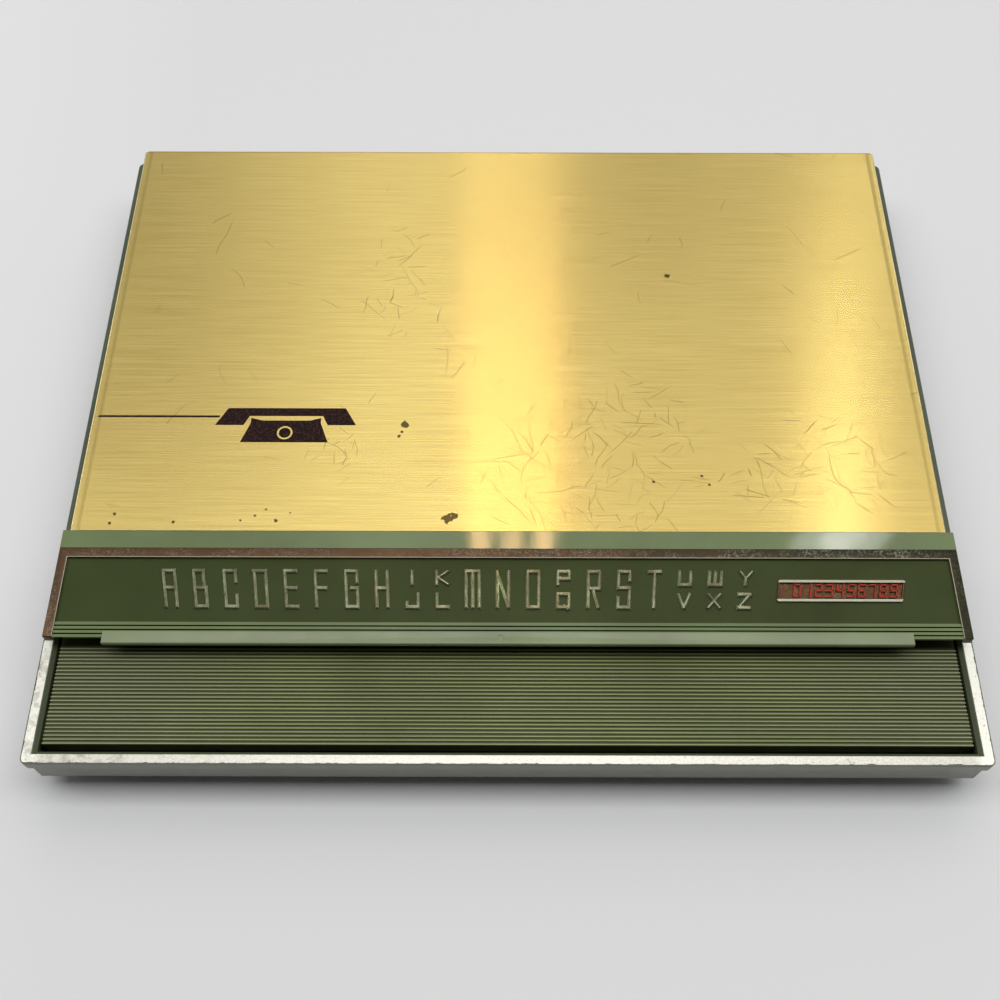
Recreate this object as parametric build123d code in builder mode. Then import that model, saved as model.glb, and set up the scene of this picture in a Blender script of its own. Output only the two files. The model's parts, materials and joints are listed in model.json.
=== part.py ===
"""Pop up telephone index.

A slim desk index. A moulded tray holds a stack of index leaves on four wire rings. The lid is hinged
at the rear and is held shut by a latch on the ribbed touch bar along the front. Pressing the bar frees
the lid, and two torsion springs on the hinge rod lift it together with the leaves above the chosen tab.

Frame: +X to the right, +Y to the rear, +Z up. The origin is under the middle of the tray, on the desk.
All sizes are in millimetres.
"""
import os
from math import asin, atan2, cos, degrees, hypot, radians, sqrt, tan

from build123d import *

os.makedirs("parts", exist_ok=True)

# ---------------------------------------------------------------------------------------------------
# Driving dimensions: outline
# ---------------------------------------------------------------------------------------------------
base_width = 255.0            # over the tray's lip, left to right
base_depth = 212.0            # over the tray's lip, front to rear
corner_radius = 1.8
front_apron = 33.3            # from the tray's front edge to the lid's front face

# Tray moulding
foot_projection = 7.0         # the feet stand this far below the tray's wall
wall_inset = 0.9              # the wall stands this far inside the lip
wall_thickness = 2.2
wall_corner_radius = 1.0
floor_thickness = 1.6
lip_height = 3.7
rim_side_width = 4.0
rim_front_width = 3.55
rim_flange = 2.5              # thickness of the rim where it overhangs the well
rim_chamfer = 0.9
rim_edge_radius = 0.5
overcut = 1.0                 # a cut runs this far past the face that it opens

# Steel cover under the tray
cover_thickness = 0.8
cover_recess = 0.2            # the cover sits this far up inside the wall
cover_gap = 0.4
screw_radius = 1.25
screw_hole_clearance = 0.2
screw_head_radius = 2.5
screw_head_height = 1.1
boss_wall = 1.6
boss_end_wall = 0.4           # left over the tip of the screw
boss_drop = 0.16              # the bosses stop this far below the ribs that carry the leaves
screw_side_setback = 49.4     # from the well's side to the screws
screw_front_setback = 18.0    # from the well's front to the front screws
screw_rear_setback = 22.4     # from the well's rear to the rear screws

# Feet
foot_radius = 6.5
foot_inset = 15.0
foot_draft = 8.0              # degrees
foot_edge_radius = 0.4

# Binder: rings, strip and leaves
ring_wire = 0.6               # radius of the wire
ring_floor_gap = 0.4
ring_slack = 1.4              # the ring's radius beyond half the stack of leaves
ring_count = 4
ring_side_setback = 38.5      # from the leaves' side to the outer rings
ring_wall_distance = 10.4     # from the rear wall's inner face to the middle of the rings
strip_width = 12.0
strip_end = 19.0              # the strip runs this far past the outer rings
strip_thickness = 0.8
strip_corner = 2.0
saddle_length = 5.0
saddle_depth = 8.0
saddle_drop = 0.36            # the saddles stop this far below the ribs that carry the leaves
rivet_radius = 1.0
rivet_head_radius = 1.8
rivet_head_height = 0.5

leaf_thickness = 0.28
leaf_gap = 0.18
leaf_side_gap = 3.3
leaf_rear_margin = 2.6
leaf_corner = 2.0
tab_depth = 7.0
tab_gap = 0.36                # between neighbouring tabs
tab_catch_gap = 1.4           # from the catch back to the tabs
punch_width = 2.0
punch_clearance = 0.25
bed_rib_width = 1.6
bed_rib_setback = 18.0        # from the leaves' side to the outer ribs
bed_rib_count = 5
bed_clearance = 0.1
bed_strip_gap = 2.0

# Lid moulding
lid_ring_gap = 0.9            # from the rings up to the lid's underside
top_wall = 1.8
edge_drop = 0.6               # the lid's border hangs this far below its underside
rim_lid_gap = 3.0             # from the rim up to the lid's border
lid_side_inset = 3.6
lid_rear_inset = 0.2
border_width = 2.6
skirt_thickness = 1.5
skirt_gap = 0.7               # between the skirt and the rim's opening
skirt_depth = 1.0             # the skirt reaches this far below the top of the rim
skirt_tab_gap = 0.4
rear_skirt_thickness = 1.0

plate_thickness = 0.6
plate_side_inset = 0.2
plate_edge_radius = 0.35
plate_corner_radius = 1.0

# Front band of the lid
band_side_inset = 1.85
strip_depth = 5.45            # plain green strip behind the trim
strip_sink = 0.1
trim_width = 3.05             # trim along the rear of the letter panel
trim_side_width = 2.7
trim_thickness = 0.8
trim_skin = 0.8
trim_edge_radius = 0.25
panel_depth = 19.15
panel_recess = 0.9
panel_thickness = 1.1
rib_land_depth = 4.8
rib_land_sink = 0.2
rib_land_count = 4
rib_land_groove = 0.42
rib_land_groove_depth = 0.7
land_lip = 0.9                # beside the ledge the land stands out over the wall below it
land_undercut = 1.1
land_undercut_gap = 0.6       # from the ledge's end to the undercut
rest_stop_length = 8.0
rest_stop_width = 1.2
rest_stop_gap = 0.05

ledge_end_setback = 13.45     # from the end of the ribbed land to the end of the ledge
ledge_depth = 3.55
ledge_thickness = 1.8
ledge_overhang = 1.95
ledge_rise = 0.2
ledge_edge_radius = 0.4
dimple_radius = 1.2           # dimple in the middle of the ledge
dimple_depth = 0.35
dimple_x = -2.0

label_length = 34.8
label_depth = 6.5
label_thickness = 0.6
label_corner = 0.5
label_bead = 0.9
label_side_margin = 13.85     # from the label to the panel's side
label_setback = 14.35         # from the lid's front face to the middle of the label

letter_side_margin = 27.67    # from the panel's side to the first letter
letter_label_gap = 6.9        # from the last letter to the label
letter_width = 4.1
letter_height = 11.85
letter_gap = 1.9              # between two letters that share a column
letter_stroke = 1.0
letter_level_stroke = 1.4    # the strokes that run left to right are wider
letter_fan = 420.0            # upright strokes point to one place this far in front of the letters
wide_letters = {"M": 1.19, "W": 1.1}
letter_relief = 0.6
letter_setback = 14.7

# Hinge
hinge_inset = 3.4             # from the lid's rear face to the axis
hinge_below_underside = 2.5
rod_radius = 1.0
running_clearance = 0.05
knuckle_radius = 2.1
rod_overhang = 0.3            # a rod runs this far past its outer lugs
base_knuckle_width = 7.0
base_knuckle_setback = 11.5   # from the tray's side to the outer lug
base_knuckle_count = 5
lid_knuckle_width = 14.0
lid_knuckle_space = 7.5       # from the middle lug to the knuckles beside it
knuckle_root = 0.1            # the knuckles run this far up into the lid
hinge_gap = 0.4               # at the sides of the lugs and of the lid's rear corners
rear_wall_drop = 4.2          # from the hinge axis down to the top of the rear wall

spring_wire = 0.3
spring_coil_gap = 0.2
spring_pitch = 0.85
spring_turns = 9.5
spring_leg = 4.0
spring_post_width = 1.6
spring_post_length = 3.2
spring_post_gap = 0.2         # from the binder strip to the posts

# Touch bar
bar_front_gap = 2.1
bar_side_gap = 0.75
bar_drop = 1.0                # rib tops below the rim
bar_plate = 1.1
bar_skirt = 1.4
bar_skirt_depth = 3.4
bar_rib_height = 0.5
bar_rib_pitch = 1.07
bar_rib_width = 0.66
bar_rib_slope = 72.0          # degrees
bar_rib_lap = 0.8             # the ribs run this far behind the lid's front face
bar_lid_overlap = 8.5         # the bar reaches this far behind the lid's front face
bar_pivot_inset = 1.5
bar_pivot_height = 3.4        # above the tray's floor
bar_travel = 3.5              # degrees
ear_thickness = 3.0
ear_pitch = 5.0               # from a lug to the ear beside it
bar_lug_setback = 7.4         # from the well's side to the outer lug
bar_lug_count = 5
bar_lug_gap = 0.6             # from the lugs forward to the skirt's ends
bar_tab_setback = 2.0
bar_tab_length = 8.0
bar_tab_width = 1.3
bar_tab_height = 1.5
bar_tab_gap = 0.2
bar_stop_gap = 0.15
stop_rib_pitch = 63.75
stop_rib_length = 25.5
stop_rib_count = 3

bar_spring_radius = 3.0
bar_spring_wire = 0.35
bar_spring_turns = 5.0
bar_spring_seat_gap = 0.05
bar_spring_side_setback = 37.75   # from the bar's side
bar_spring_setback = 8.6      # behind the bar's front edge
bar_spring_post = 2.2
bar_spring_post_height = 4.0

# Latch on the bar and catch on the lid
latch_side_setback = 42.75    # from the bar's side to the latch strip
latch_sheet = 0.6
latch_flange = 3.2
latch_nose = 1.0
latch_short = 0.15            # the nose stops this far short of the lip
catch_overrun = 10.0          # the catch strip runs this far past the latch strip
catch_flange = 4.6
catch_lip = 1.2
catch_drop = 2.3              # from the catch's flange down to the bottom of its lip
latch_vertical_gap = 0.4
latch_rivet_count = 4
latch_rivet_setback = 14.0    # from the latch strip's end to the outer rivets
latch_rivet_radius = 0.9
latch_rivet_head = 1.5
latch_rivet_head_height = 0.45

# Foil on the rim
foil_thickness = 0.25
foil_outer_inset = 0.4
foil_chamfer_gap = 0.3        # from the rim's chamfer to the foil on the sides
foil_under_lid = 2.5

# ---------------------------------------------------------------------------------------------------
# Places worked out from the driving dimensions
# ---------------------------------------------------------------------------------------------------
front_y = -base_depth / 2
rear_y = base_depth / 2
side_x = base_width / 2

# Levels, from the desk up
wall_bottom = foot_projection
cover_bottom = wall_bottom + cover_recess
tray_bottom = cover_bottom + cover_thickness
floor_z = tray_bottom + floor_thickness
columns = ["A", "B", "C", "D", "E", "F", "G", "H", "IJ", "KL", "M", "N", "O", "PQ", "R", "S", "T",
           "UV", "WX", "YZ"]
leaf_count = len(columns) + 1     # one for each letter column and one for the label plate
leaf_pitch = leaf_thickness + leaf_gap
stack_half = (leaf_count - 1) / 2 * leaf_pitch
ring_radius = stack_half + ring_slack     # to the middle of the wire
ring_outer = ring_radius + ring_wire
ring_z = floor_z + ring_floor_gap + ring_outer
lid_underside = ring_z + ring_outer + lid_ring_gap
plate_seat = lid_underside + top_wall
lid_top = plate_seat + plate_thickness
lid_border = lid_underside - edge_drop
rim_z = lid_border - rim_lid_gap
hinge_z = lid_underside - hinge_below_underside
rear_wall_top = hinge_z - rear_wall_drop
bar_top = rim_z - bar_drop
bar_plate_top = bar_top - bar_rib_height
bar_plate_bottom = bar_plate_top - bar_plate
bar_pivot_z = floor_z + bar_pivot_height
bed_z = ring_z - stack_half - leaf_thickness / 2 - bed_clearance
boss_top = bed_z - boss_drop
saddle_top = bed_z - saddle_drop

# Tray in plan
wall_width = base_width - 2 * wall_inset
wall_depth = base_depth - 2 * wall_inset
well_width = wall_width - 2 * wall_thickness
well_depth = wall_depth - 2 * wall_thickness
mouth_width = base_width - 2 * rim_side_width
mouth_front_y = front_y + rim_front_width
well_front_y = -well_depth / 2
well_rear_y = well_depth / 2
notch_half = base_width / 2 - lid_side_inset + hinge_gap

# Lid in plan
lid_front_y = front_y + front_apron
lid_rear_y = rear_y - lid_rear_inset
lid_width = base_width - 2 * lid_side_inset
band_width = base_width - 2 * band_side_inset
band_core_width = band_width - 2 * trim_skin
panel_width = band_width - 2 * trim_side_width
panel_front_y = lid_front_y + rib_land_depth
panel_rear_y = panel_front_y + panel_depth
strip_front_y = panel_rear_y + trim_width
plate_front_y = strip_front_y + strip_depth
skirt_width = mouth_width - 2 * skirt_gap
skirt_inner_width = skirt_width - 2 * skirt_thickness
hinge_y = lid_rear_y - hinge_inset
trim_seat = lid_top - trim_thickness
strip_top = lid_top - strip_sink
panel_top = lid_top - panel_recess
panel_seat = panel_top - panel_thickness
rib_land_top = lid_top - rib_land_sink
ledge_length = panel_width - 2 * ledge_end_setback

# Touch bar in plan
bar_front_y = mouth_front_y + bar_front_gap
bar_rear_y = lid_front_y + bar_lid_overlap
bar_width = mouth_width - 2 * bar_side_gap
bar_pivot_y = bar_rear_y - bar_pivot_inset
bar_rib_count = int((lid_front_y + bar_rib_lap - bar_front_y) / bar_rib_pitch)
bar_spring_x = bar_width / 2 - bar_spring_side_setback
bar_spring_y = bar_front_y + bar_spring_setback


def spread(count, outermost):
    """Evenly spaced places from -outermost to +outermost."""
    return [outermost * (2 * i / (count - 1) - 1) for i in range(count)]


bar_lug_places = spread(bar_lug_count, well_width / 2 - bar_lug_setback)
bar_ear_places = [x - ear_pitch if x > 0 else x + ear_pitch for x in bar_lug_places if x]

# Binder in plan
leaf_width = skirt_inner_width - 2 * leaf_side_gap
ring_y = well_rear_y - ring_wall_distance
ring_places = spread(ring_count, leaf_width / 2 - ring_side_setback)

# Hinge along its rod: lugs on the tray, knuckles on the lid, and a spring in each inner bay
base_knuckle_places = spread(base_knuckle_count, base_width / 2 - base_knuckle_setback)
knuckle_bay = base_knuckle_places[-1] - base_knuckle_places[-2]
inner_knuckle_x = base_knuckle_width / 2 + lid_knuckle_space + lid_knuckle_width / 2
outer_knuckle_x = base_knuckle_places[-1] - knuckle_bay / 2
lid_knuckle_places = [-outer_knuckle_x, -inner_knuckle_x, inner_knuckle_x, outer_knuckle_x]
spring_center_x = (inner_knuckle_x + lid_knuckle_width / 2 + knuckle_bay - base_knuckle_width / 2) / 2

# The latch strip stands on the bar and its nose reaches back over the catch's lip
latch_web_front = bar_rear_y - latch_nose - latch_sheet
latch_nose_tip = latch_web_front + latch_sheet + latch_nose
catch_lip_tip = latch_nose_tip + latch_short
catch_lip_bottom = lid_border - latch_sheet - catch_drop
latch_nose_bottom = catch_lip_bottom + latch_sheet + latch_vertical_gap
catch_web_rear = catch_lip_tip + catch_lip + latch_sheet
latch_length = bar_width - 2 * latch_side_setback
latch_rivet_x = spread(latch_rivet_count, latch_length / 2 - latch_rivet_setback)
catch_length = latch_length + 2 * catch_overrun

# Letter columns and label along the panel
label_center_x = panel_width / 2 - label_side_margin - label_length / 2
letter_first_x = -panel_width / 2 + letter_side_margin + letter_width / 2
letter_last_x = label_center_x - label_length / 2 - letter_label_gap - letter_width / 2
letter_pitch = (letter_last_x - letter_first_x) / (len(columns) - 1)
column_places = [letter_first_x + i * letter_pitch for i in range(len(columns))]

# Each leaf's tab lies below its column
tab_front_y = catch_web_rear + tab_catch_gap
tab_width = letter_pitch - tab_gap
leaf_reach = ring_y - ring_radius - tab_front_y     # from the punched holes to the end of the tab


def box_between(x_low, x_high, y_low, y_high, mode=Mode.ADD):
    """A rectangle in the current sketch between four lines."""
    with Locations(((x_low + x_high) / 2, (y_low + y_high) / 2)):
        Rectangle(x_high - x_low, y_high - y_low, mode=mode)


def draw_foil():
    """The foil's outline in the current sketch: along the front and down both sides of the rim."""
    outer_x = side_x - foil_outer_inset
    inner_x = mouth_width / 2 + rim_chamfer + foil_chamfer_gap
    rear = lid_front_y + foil_under_lid
    box_between(-outer_x, outer_x, front_y + foil_outer_inset, rear)
    box_between(-inner_x, inner_x, mouth_front_y - rim_chamfer, rear + overcut, mode=Mode.SUBTRACT)


# ---------------------------------------------------------------------------------------------------
# Tray
# ---------------------------------------------------------------------------------------------------
with BuildPart() as base_tray:
    with BuildSketch(Plane.XY.offset(wall_bottom)):
        RectangleRounded(wall_width, wall_depth, wall_corner_radius)
    extrude(amount=rim_z - lip_height - wall_bottom)
    with BuildSketch(Plane.XY.offset(rim_z - lip_height)):
        RectangleRounded(base_width, base_depth, corner_radius)
    extrude(amount=lip_height)
    rim_edges = base_tray.faces().sort_by(Axis.Z)[-1].outer_wire().edges()
    fillet(rim_edges, rim_edge_radius)

    # recess for the cover, well and mouth
    with BuildSketch(Plane.XY.offset(wall_bottom)):
        RectangleRounded(well_width, well_depth, corner_radius)
    extrude(amount=tray_bottom - wall_bottom, mode=Mode.SUBTRACT)
    with BuildSketch(Plane.XY.offset(floor_z)):
        RectangleRounded(well_width, well_depth, corner_radius)
    extrude(amount=rim_z - rim_flange - floor_z, mode=Mode.SUBTRACT)
    with BuildSketch(Plane.XY.offset(rim_z - rim_flange)):
        box_between(-mouth_width / 2, mouth_width / 2, mouth_front_y, well_rear_y)
    extrude(amount=rim_flange, mode=Mode.SUBTRACT)
    mouth_edges = base_tray.faces().sort_by(Axis.Z)[-1].inner_wires()[0].edges()
    chamfer(mouth_edges, rim_chamfer)

    # the rear wall is cut low where the lid's rear edge swings down
    with BuildSketch(Plane.XY.offset(rear_wall_top)):
        box_between(-notch_half, notch_half, hinge_y, rear_y + overcut)
    extrude(amount=rim_z, mode=Mode.SUBTRACT)

    # seat for the foil on the front and sides of the rim
    with BuildSketch(Plane.XY.offset(rim_z - foil_thickness)):
        draw_foil()
    extrude(amount=foil_thickness, mode=Mode.SUBTRACT)

    # lugs for the hinge rod
    for x in base_knuckle_places:
        with BuildSketch(Plane.YZ.offset(x)):
            with Locations((hinge_y, hinge_z)):
                Circle(knuckle_radius)
            box_between(hinge_y - knuckle_radius, hinge_y + knuckle_radius, floor_z, hinge_z)
        extrude(amount=base_knuckle_width / 2, both=True)

    # posts under the free legs of the hinge springs
    spring_coil = rod_radius + spring_coil_gap + spring_wire
    spring_leg_z = hinge_z - spring_coil
    spring_length = spring_turns * spring_pitch
    spring_post_y = ring_y + strip_width / 2 + spring_post_gap + spring_post_width / 2
    with BuildSketch(Plane.XY.offset(floor_z)):
        for side in (-1, 1):
            with Locations((side * spring_center_x + spring_length / 2, spring_post_y)):
                Rectangle(spring_post_length, spring_post_width)
    extrude(amount=spring_leg_z - spring_wire - floor_z)

    # lugs for the touch bar's pivot rod
    for x in bar_lug_places:
        with BuildSketch(Plane.YZ.offset(x)):
            with Locations((bar_pivot_y, bar_pivot_z)):
                Circle(knuckle_radius)
            box_between(bar_pivot_y - knuckle_radius, bar_pivot_y + knuckle_radius, floor_z, bar_pivot_z)
        extrude(amount=ear_thickness / 2, both=True)

    # posts inside the touch bar's return springs, and the rib that stops the bar
    with BuildSketch(Plane.XY.offset(floor_z)):
        with Locations((-bar_spring_x, bar_spring_y), (bar_spring_x, bar_spring_y)):
            Circle(bar_spring_post)
    extrude(amount=bar_spring_post_height)
    bar_sweep = radians(bar_travel) * (bar_pivot_y - bar_front_y)
    stop_height = bar_plate_bottom - bar_skirt_depth - bar_sweep - bar_stop_gap - floor_z
    with BuildSketch(Plane.XY.offset(floor_z)):
        with Locations((0, bar_front_y + bar_skirt / 2)):
            with GridLocations(stop_rib_pitch, 1, stop_rib_count, 1):
                Rectangle(stop_rib_length, bar_skirt)
    extrude(amount=stop_height)

    # ribs that carry the stack of leaves
    bed_front_y = tab_front_y + tab_depth
    bed_rear_y = ring_y - strip_width / 2 - bed_strip_gap
    bed_places = spread(bed_rib_count, leaf_width / 2 - bed_rib_setback)
    with BuildSketch(Plane.XY.offset(floor_z)):
        with Locations(*[(x, (bed_front_y + bed_rear_y) / 2) for x in bed_places]):
            Rectangle(bed_rib_width, bed_rear_y - bed_front_y)
    extrude(amount=bed_z - floor_z)

    # bosses for the cover's screws
    screw_rows = (well_front_y + screw_front_setback, 0, well_rear_y - screw_rear_setback)
    screw_x = well_width / 2 - screw_side_setback
    screw_places = [(x, y) for x in (-screw_x, screw_x) for y in screw_rows]
    screw_tip = boss_top - boss_end_wall
    with BuildSketch(Plane.XY.offset(floor_z)):
        with Locations(*screw_places):
            Circle(screw_radius + boss_wall)
    extrude(amount=boss_top - floor_z)
    with BuildSketch(Plane.XY.offset(tray_bottom)):
        with Locations(*screw_places):
            Circle(screw_radius)
    extrude(amount=screw_tip - tray_bottom, mode=Mode.SUBTRACT)

    # bores for both rods, and holes for the binder strip's rivets
    with BuildSketch(Plane.YZ):
        with Locations((hinge_y, hinge_z), (bar_pivot_y, bar_pivot_z)):
            Circle(rod_radius)
    extrude(amount=mouth_width / 2 - overcut, both=True, mode=Mode.SUBTRACT)
    ring_gaps = [(low + high) / 2 for low, high in zip(ring_places, ring_places[1:])]
    outer_rivet_x = ring_places[-1] + strip_end / 2
    rivet_places = [(x, ring_y) for x in (-outer_rivet_x, *ring_gaps, outer_rivet_x)]
    with BuildSketch(Plane.XY.offset(tray_bottom)):
        with Locations(*rivet_places):
            Circle(rivet_radius)
    extrude(amount=floor_thickness, mode=Mode.SUBTRACT)

base_tray.part.label = "base_tray"
export_step(base_tray.part, "parts/base_tray.step")

# ---------------------------------------------------------------------------------------------------
# Silver foil on the front and sides of the rim
# ---------------------------------------------------------------------------------------------------
with BuildPart() as rim_foil:
    with BuildSketch(Plane.XY.offset(rim_z - foil_thickness)):
        draw_foil()
    extrude(amount=foil_thickness)
    fillet(rim_foil.edges().filter_by(Axis.Z).group_by(Axis.Y)[0], corner_radius - foil_outer_inset)

rim_foil.part.label = "rim_foil"
export_step(rim_foil.part, "parts/rim_foil.step")

# ---------------------------------------------------------------------------------------------------
# Steel cover under the tray, its screws and the feet
# ---------------------------------------------------------------------------------------------------
with BuildPart() as bottom_cover:
    with BuildSketch(Plane.XY.offset(cover_bottom)):
        RectangleRounded(well_width - 2 * cover_gap, well_depth - 2 * cover_gap, corner_radius)
        with Locations(*screw_places):
            Circle(screw_radius + screw_hole_clearance, mode=Mode.SUBTRACT)
    extrude(amount=cover_thickness)

bottom_cover.part.label = "bottom_cover"
export_step(bottom_cover.part, "parts/bottom_cover.step")

with BuildPart() as cover_screws:
    with BuildSketch(Plane.XY.offset(cover_bottom)):
        with Locations(*screw_places):
            Circle(screw_head_radius)
    extrude(amount=-screw_head_height)
    head_edges = cover_screws.faces().filter_by(Axis.Z).group_by(Axis.Z)[0].edges()
    fillet(head_edges, screw_head_height / 2)
    with BuildSketch(Plane.XY.offset(cover_bottom)):
        with Locations(*screw_places):
            Circle(screw_radius)
    extrude(amount=screw_tip - cover_bottom)
    with BuildSketch(Plane.XY.offset(cover_bottom - screw_head_height)):
        with Locations(*screw_places):
            Rectangle(2 * screw_head_radius, screw_radius / 2)
    extrude(amount=screw_head_height / 2, mode=Mode.SUBTRACT)

cover_screws.part.label = "cover_screws"
export_step(cover_screws.part, "parts/cover_screws.step")

foot_x = well_width / 2 - foot_inset
foot_y = well_depth / 2 - foot_inset
foot_places = {
    "foot_front_left": (-foot_x, -foot_y),
    "foot_front_right": (foot_x, -foot_y),
    "foot_rear_left": (-foot_x, foot_y),
    "foot_rear_right": (foot_x, foot_y),
}
for foot_name, (x, y) in foot_places.items():
    with BuildPart() as foot:
        with BuildSketch(Plane.XY.offset(cover_bottom)):
            with Locations((x, y)):
                Circle(foot_radius)
        extrude(amount=-cover_bottom, taper=foot_draft)
        fillet(foot.faces().sort_by(Axis.Z)[0].edges(), foot_edge_radius)
    foot.part.label = foot_name
    export_step(foot.part, f"parts/{foot_name}.step")

# ---------------------------------------------------------------------------------------------------
# Binder: strip with saddles, rivets and rings
# ---------------------------------------------------------------------------------------------------
with BuildPart() as binder_strip:
    strip_length = 2 * (ring_places[-1] + strip_end)
    with BuildSketch(Plane.XY.offset(floor_z)):
        with Locations((0, ring_y)):
            RectangleRounded(strip_length, strip_width, strip_corner)
            with Locations(*[(x, 0) for x, _ in rivet_places]):
                Circle(rivet_radius, mode=Mode.SUBTRACT)
    extrude(amount=strip_thickness)
    with BuildSketch(Plane.XY.offset(floor_z + strip_thickness)):
        with Locations(*[(x, ring_y) for x in ring_places]):
            Rectangle(saddle_length, saddle_depth)
    extrude(amount=saddle_top - floor_z - strip_thickness)
    with Locations(*[Location((x, ring_y, ring_z), (0, 90, 0)) for x in ring_places]):
        Torus(ring_radius, ring_wire, mode=Mode.SUBTRACT)

binder_strip.part.label = "binder_strip"
export_step(binder_strip.part, "parts/binder_strip.step")

with BuildPart() as binder_rivets:
    with BuildSketch(Plane.XY.offset(tray_bottom)):
        with Locations(*rivet_places):
            Circle(rivet_radius)
    extrude(amount=floor_thickness + strip_thickness)
    with BuildSketch(Plane.XY.offset(floor_z + strip_thickness)):
        with Locations(*rivet_places):
            Circle(rivet_head_radius)
    extrude(amount=rivet_head_height)
    fillet(binder_rivets.faces().filter_by(Axis.Z).group_by(Axis.Z)[-1].edges(), rivet_head_height / 2)

binder_rivets.part.label = "binder_rivets"
export_step(binder_rivets.part, "parts/binder_rivets.step")

for number, x in enumerate(ring_places, start=1):
    with BuildPart() as ring:
        with Locations(Location((x, ring_y, ring_z), (0, 90, 0))):
            Torus(ring_radius, ring_wire)
    ring.part.label = f"binder_ring_{number}"
    export_step(ring.part, f"parts/binder_ring_{number}.step")

# ---------------------------------------------------------------------------------------------------
# Index leaves. Each one hangs on the rings at its own height, so its holes lie on the ring's circle
# ---------------------------------------------------------------------------------------------------
leaf_tabs = [(f"leaf_{'_'.join(name.lower())}", x, tab_width) for name, x in zip(columns, column_places)]
leaf_tabs.append(("leaf_numbers", label_center_x, label_length))
steepest = asin(stack_half / ring_radius)
punch_half = ring_wire / cos(steepest) + leaf_thickness / 2 * tan(steepest) + punch_clearance
for index, (leaf_name, tab_x, width) in enumerate(leaf_tabs):
    rise = stack_half - index * leaf_pitch
    punch_y = ring_y - sqrt(ring_radius**2 - rise**2)
    with BuildPart() as leaf:
        with BuildSketch(Plane.XY.offset(ring_z + rise - leaf_thickness / 2)):
            sheet_front = punch_y - leaf_reach + tab_depth
            box_between(-leaf_width / 2, leaf_width / 2, sheet_front, punch_y + leaf_rear_margin)
            box_between(tab_x - width / 2, tab_x + width / 2, punch_y - leaf_reach, sheet_front)
            with Locations(*[(x, punch_y) for x in ring_places]):
                Rectangle(punch_width, 2 * punch_half, mode=Mode.SUBTRACT)
        extrude(amount=leaf_thickness)
        corners = leaf.edges().filter_by(Axis.Z)
        fillet(corners.group_by(Axis.Y)[0], leaf_corner / 2)
        fillet(corners.group_by(Axis.X)[0] + corners.group_by(Axis.X)[-1], leaf_corner)
    leaf.part.label = leaf_name
    export_step(leaf.part, f"parts/{leaf_name}.step")

# ---------------------------------------------------------------------------------------------------
# Hinge rod and its torsion springs
# ---------------------------------------------------------------------------------------------------
with BuildPart() as hinge_rod:
    rod_half = base_knuckle_places[-1] + base_knuckle_width / 2 + rod_overhang
    with BuildSketch(Plane.YZ):
        with Locations((hinge_y, hinge_z)):
            Circle(rod_radius)
    extrude(amount=rod_half, both=True)

hinge_rod.part.label = "hinge_rod"
export_step(hinge_rod.part, "parts/hinge_rod.step")

for spring_name, side in (("hinge_spring_left", -1), ("hinge_spring_right", 1)):
    coil_start = (side * spring_center_x - spring_length / 2, hinge_y, hinge_z)
    leg = Vector(0, spring_leg, 0)
    with BuildPart() as hinge_spring:
        with BuildLine() as wire:
            coil = Helix(spring_pitch, spring_length, spring_coil, center=coil_start,
                         direction=(1, 0, 0), lefthand=True)
            Line(coil @ 0 - leg, coil @ 0)
            Line(coil @ 1, coil @ 1 - leg)
        path = wire.wire()
        with BuildSketch(Plane(origin=path @ 0, z_dir=path % 0)):
            Circle(spring_wire)
        sweep(path=path, is_frenet=True)
    hinge_spring.part.label = spring_name
    export_step(hinge_spring.part, f"parts/{spring_name}.step")

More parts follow.
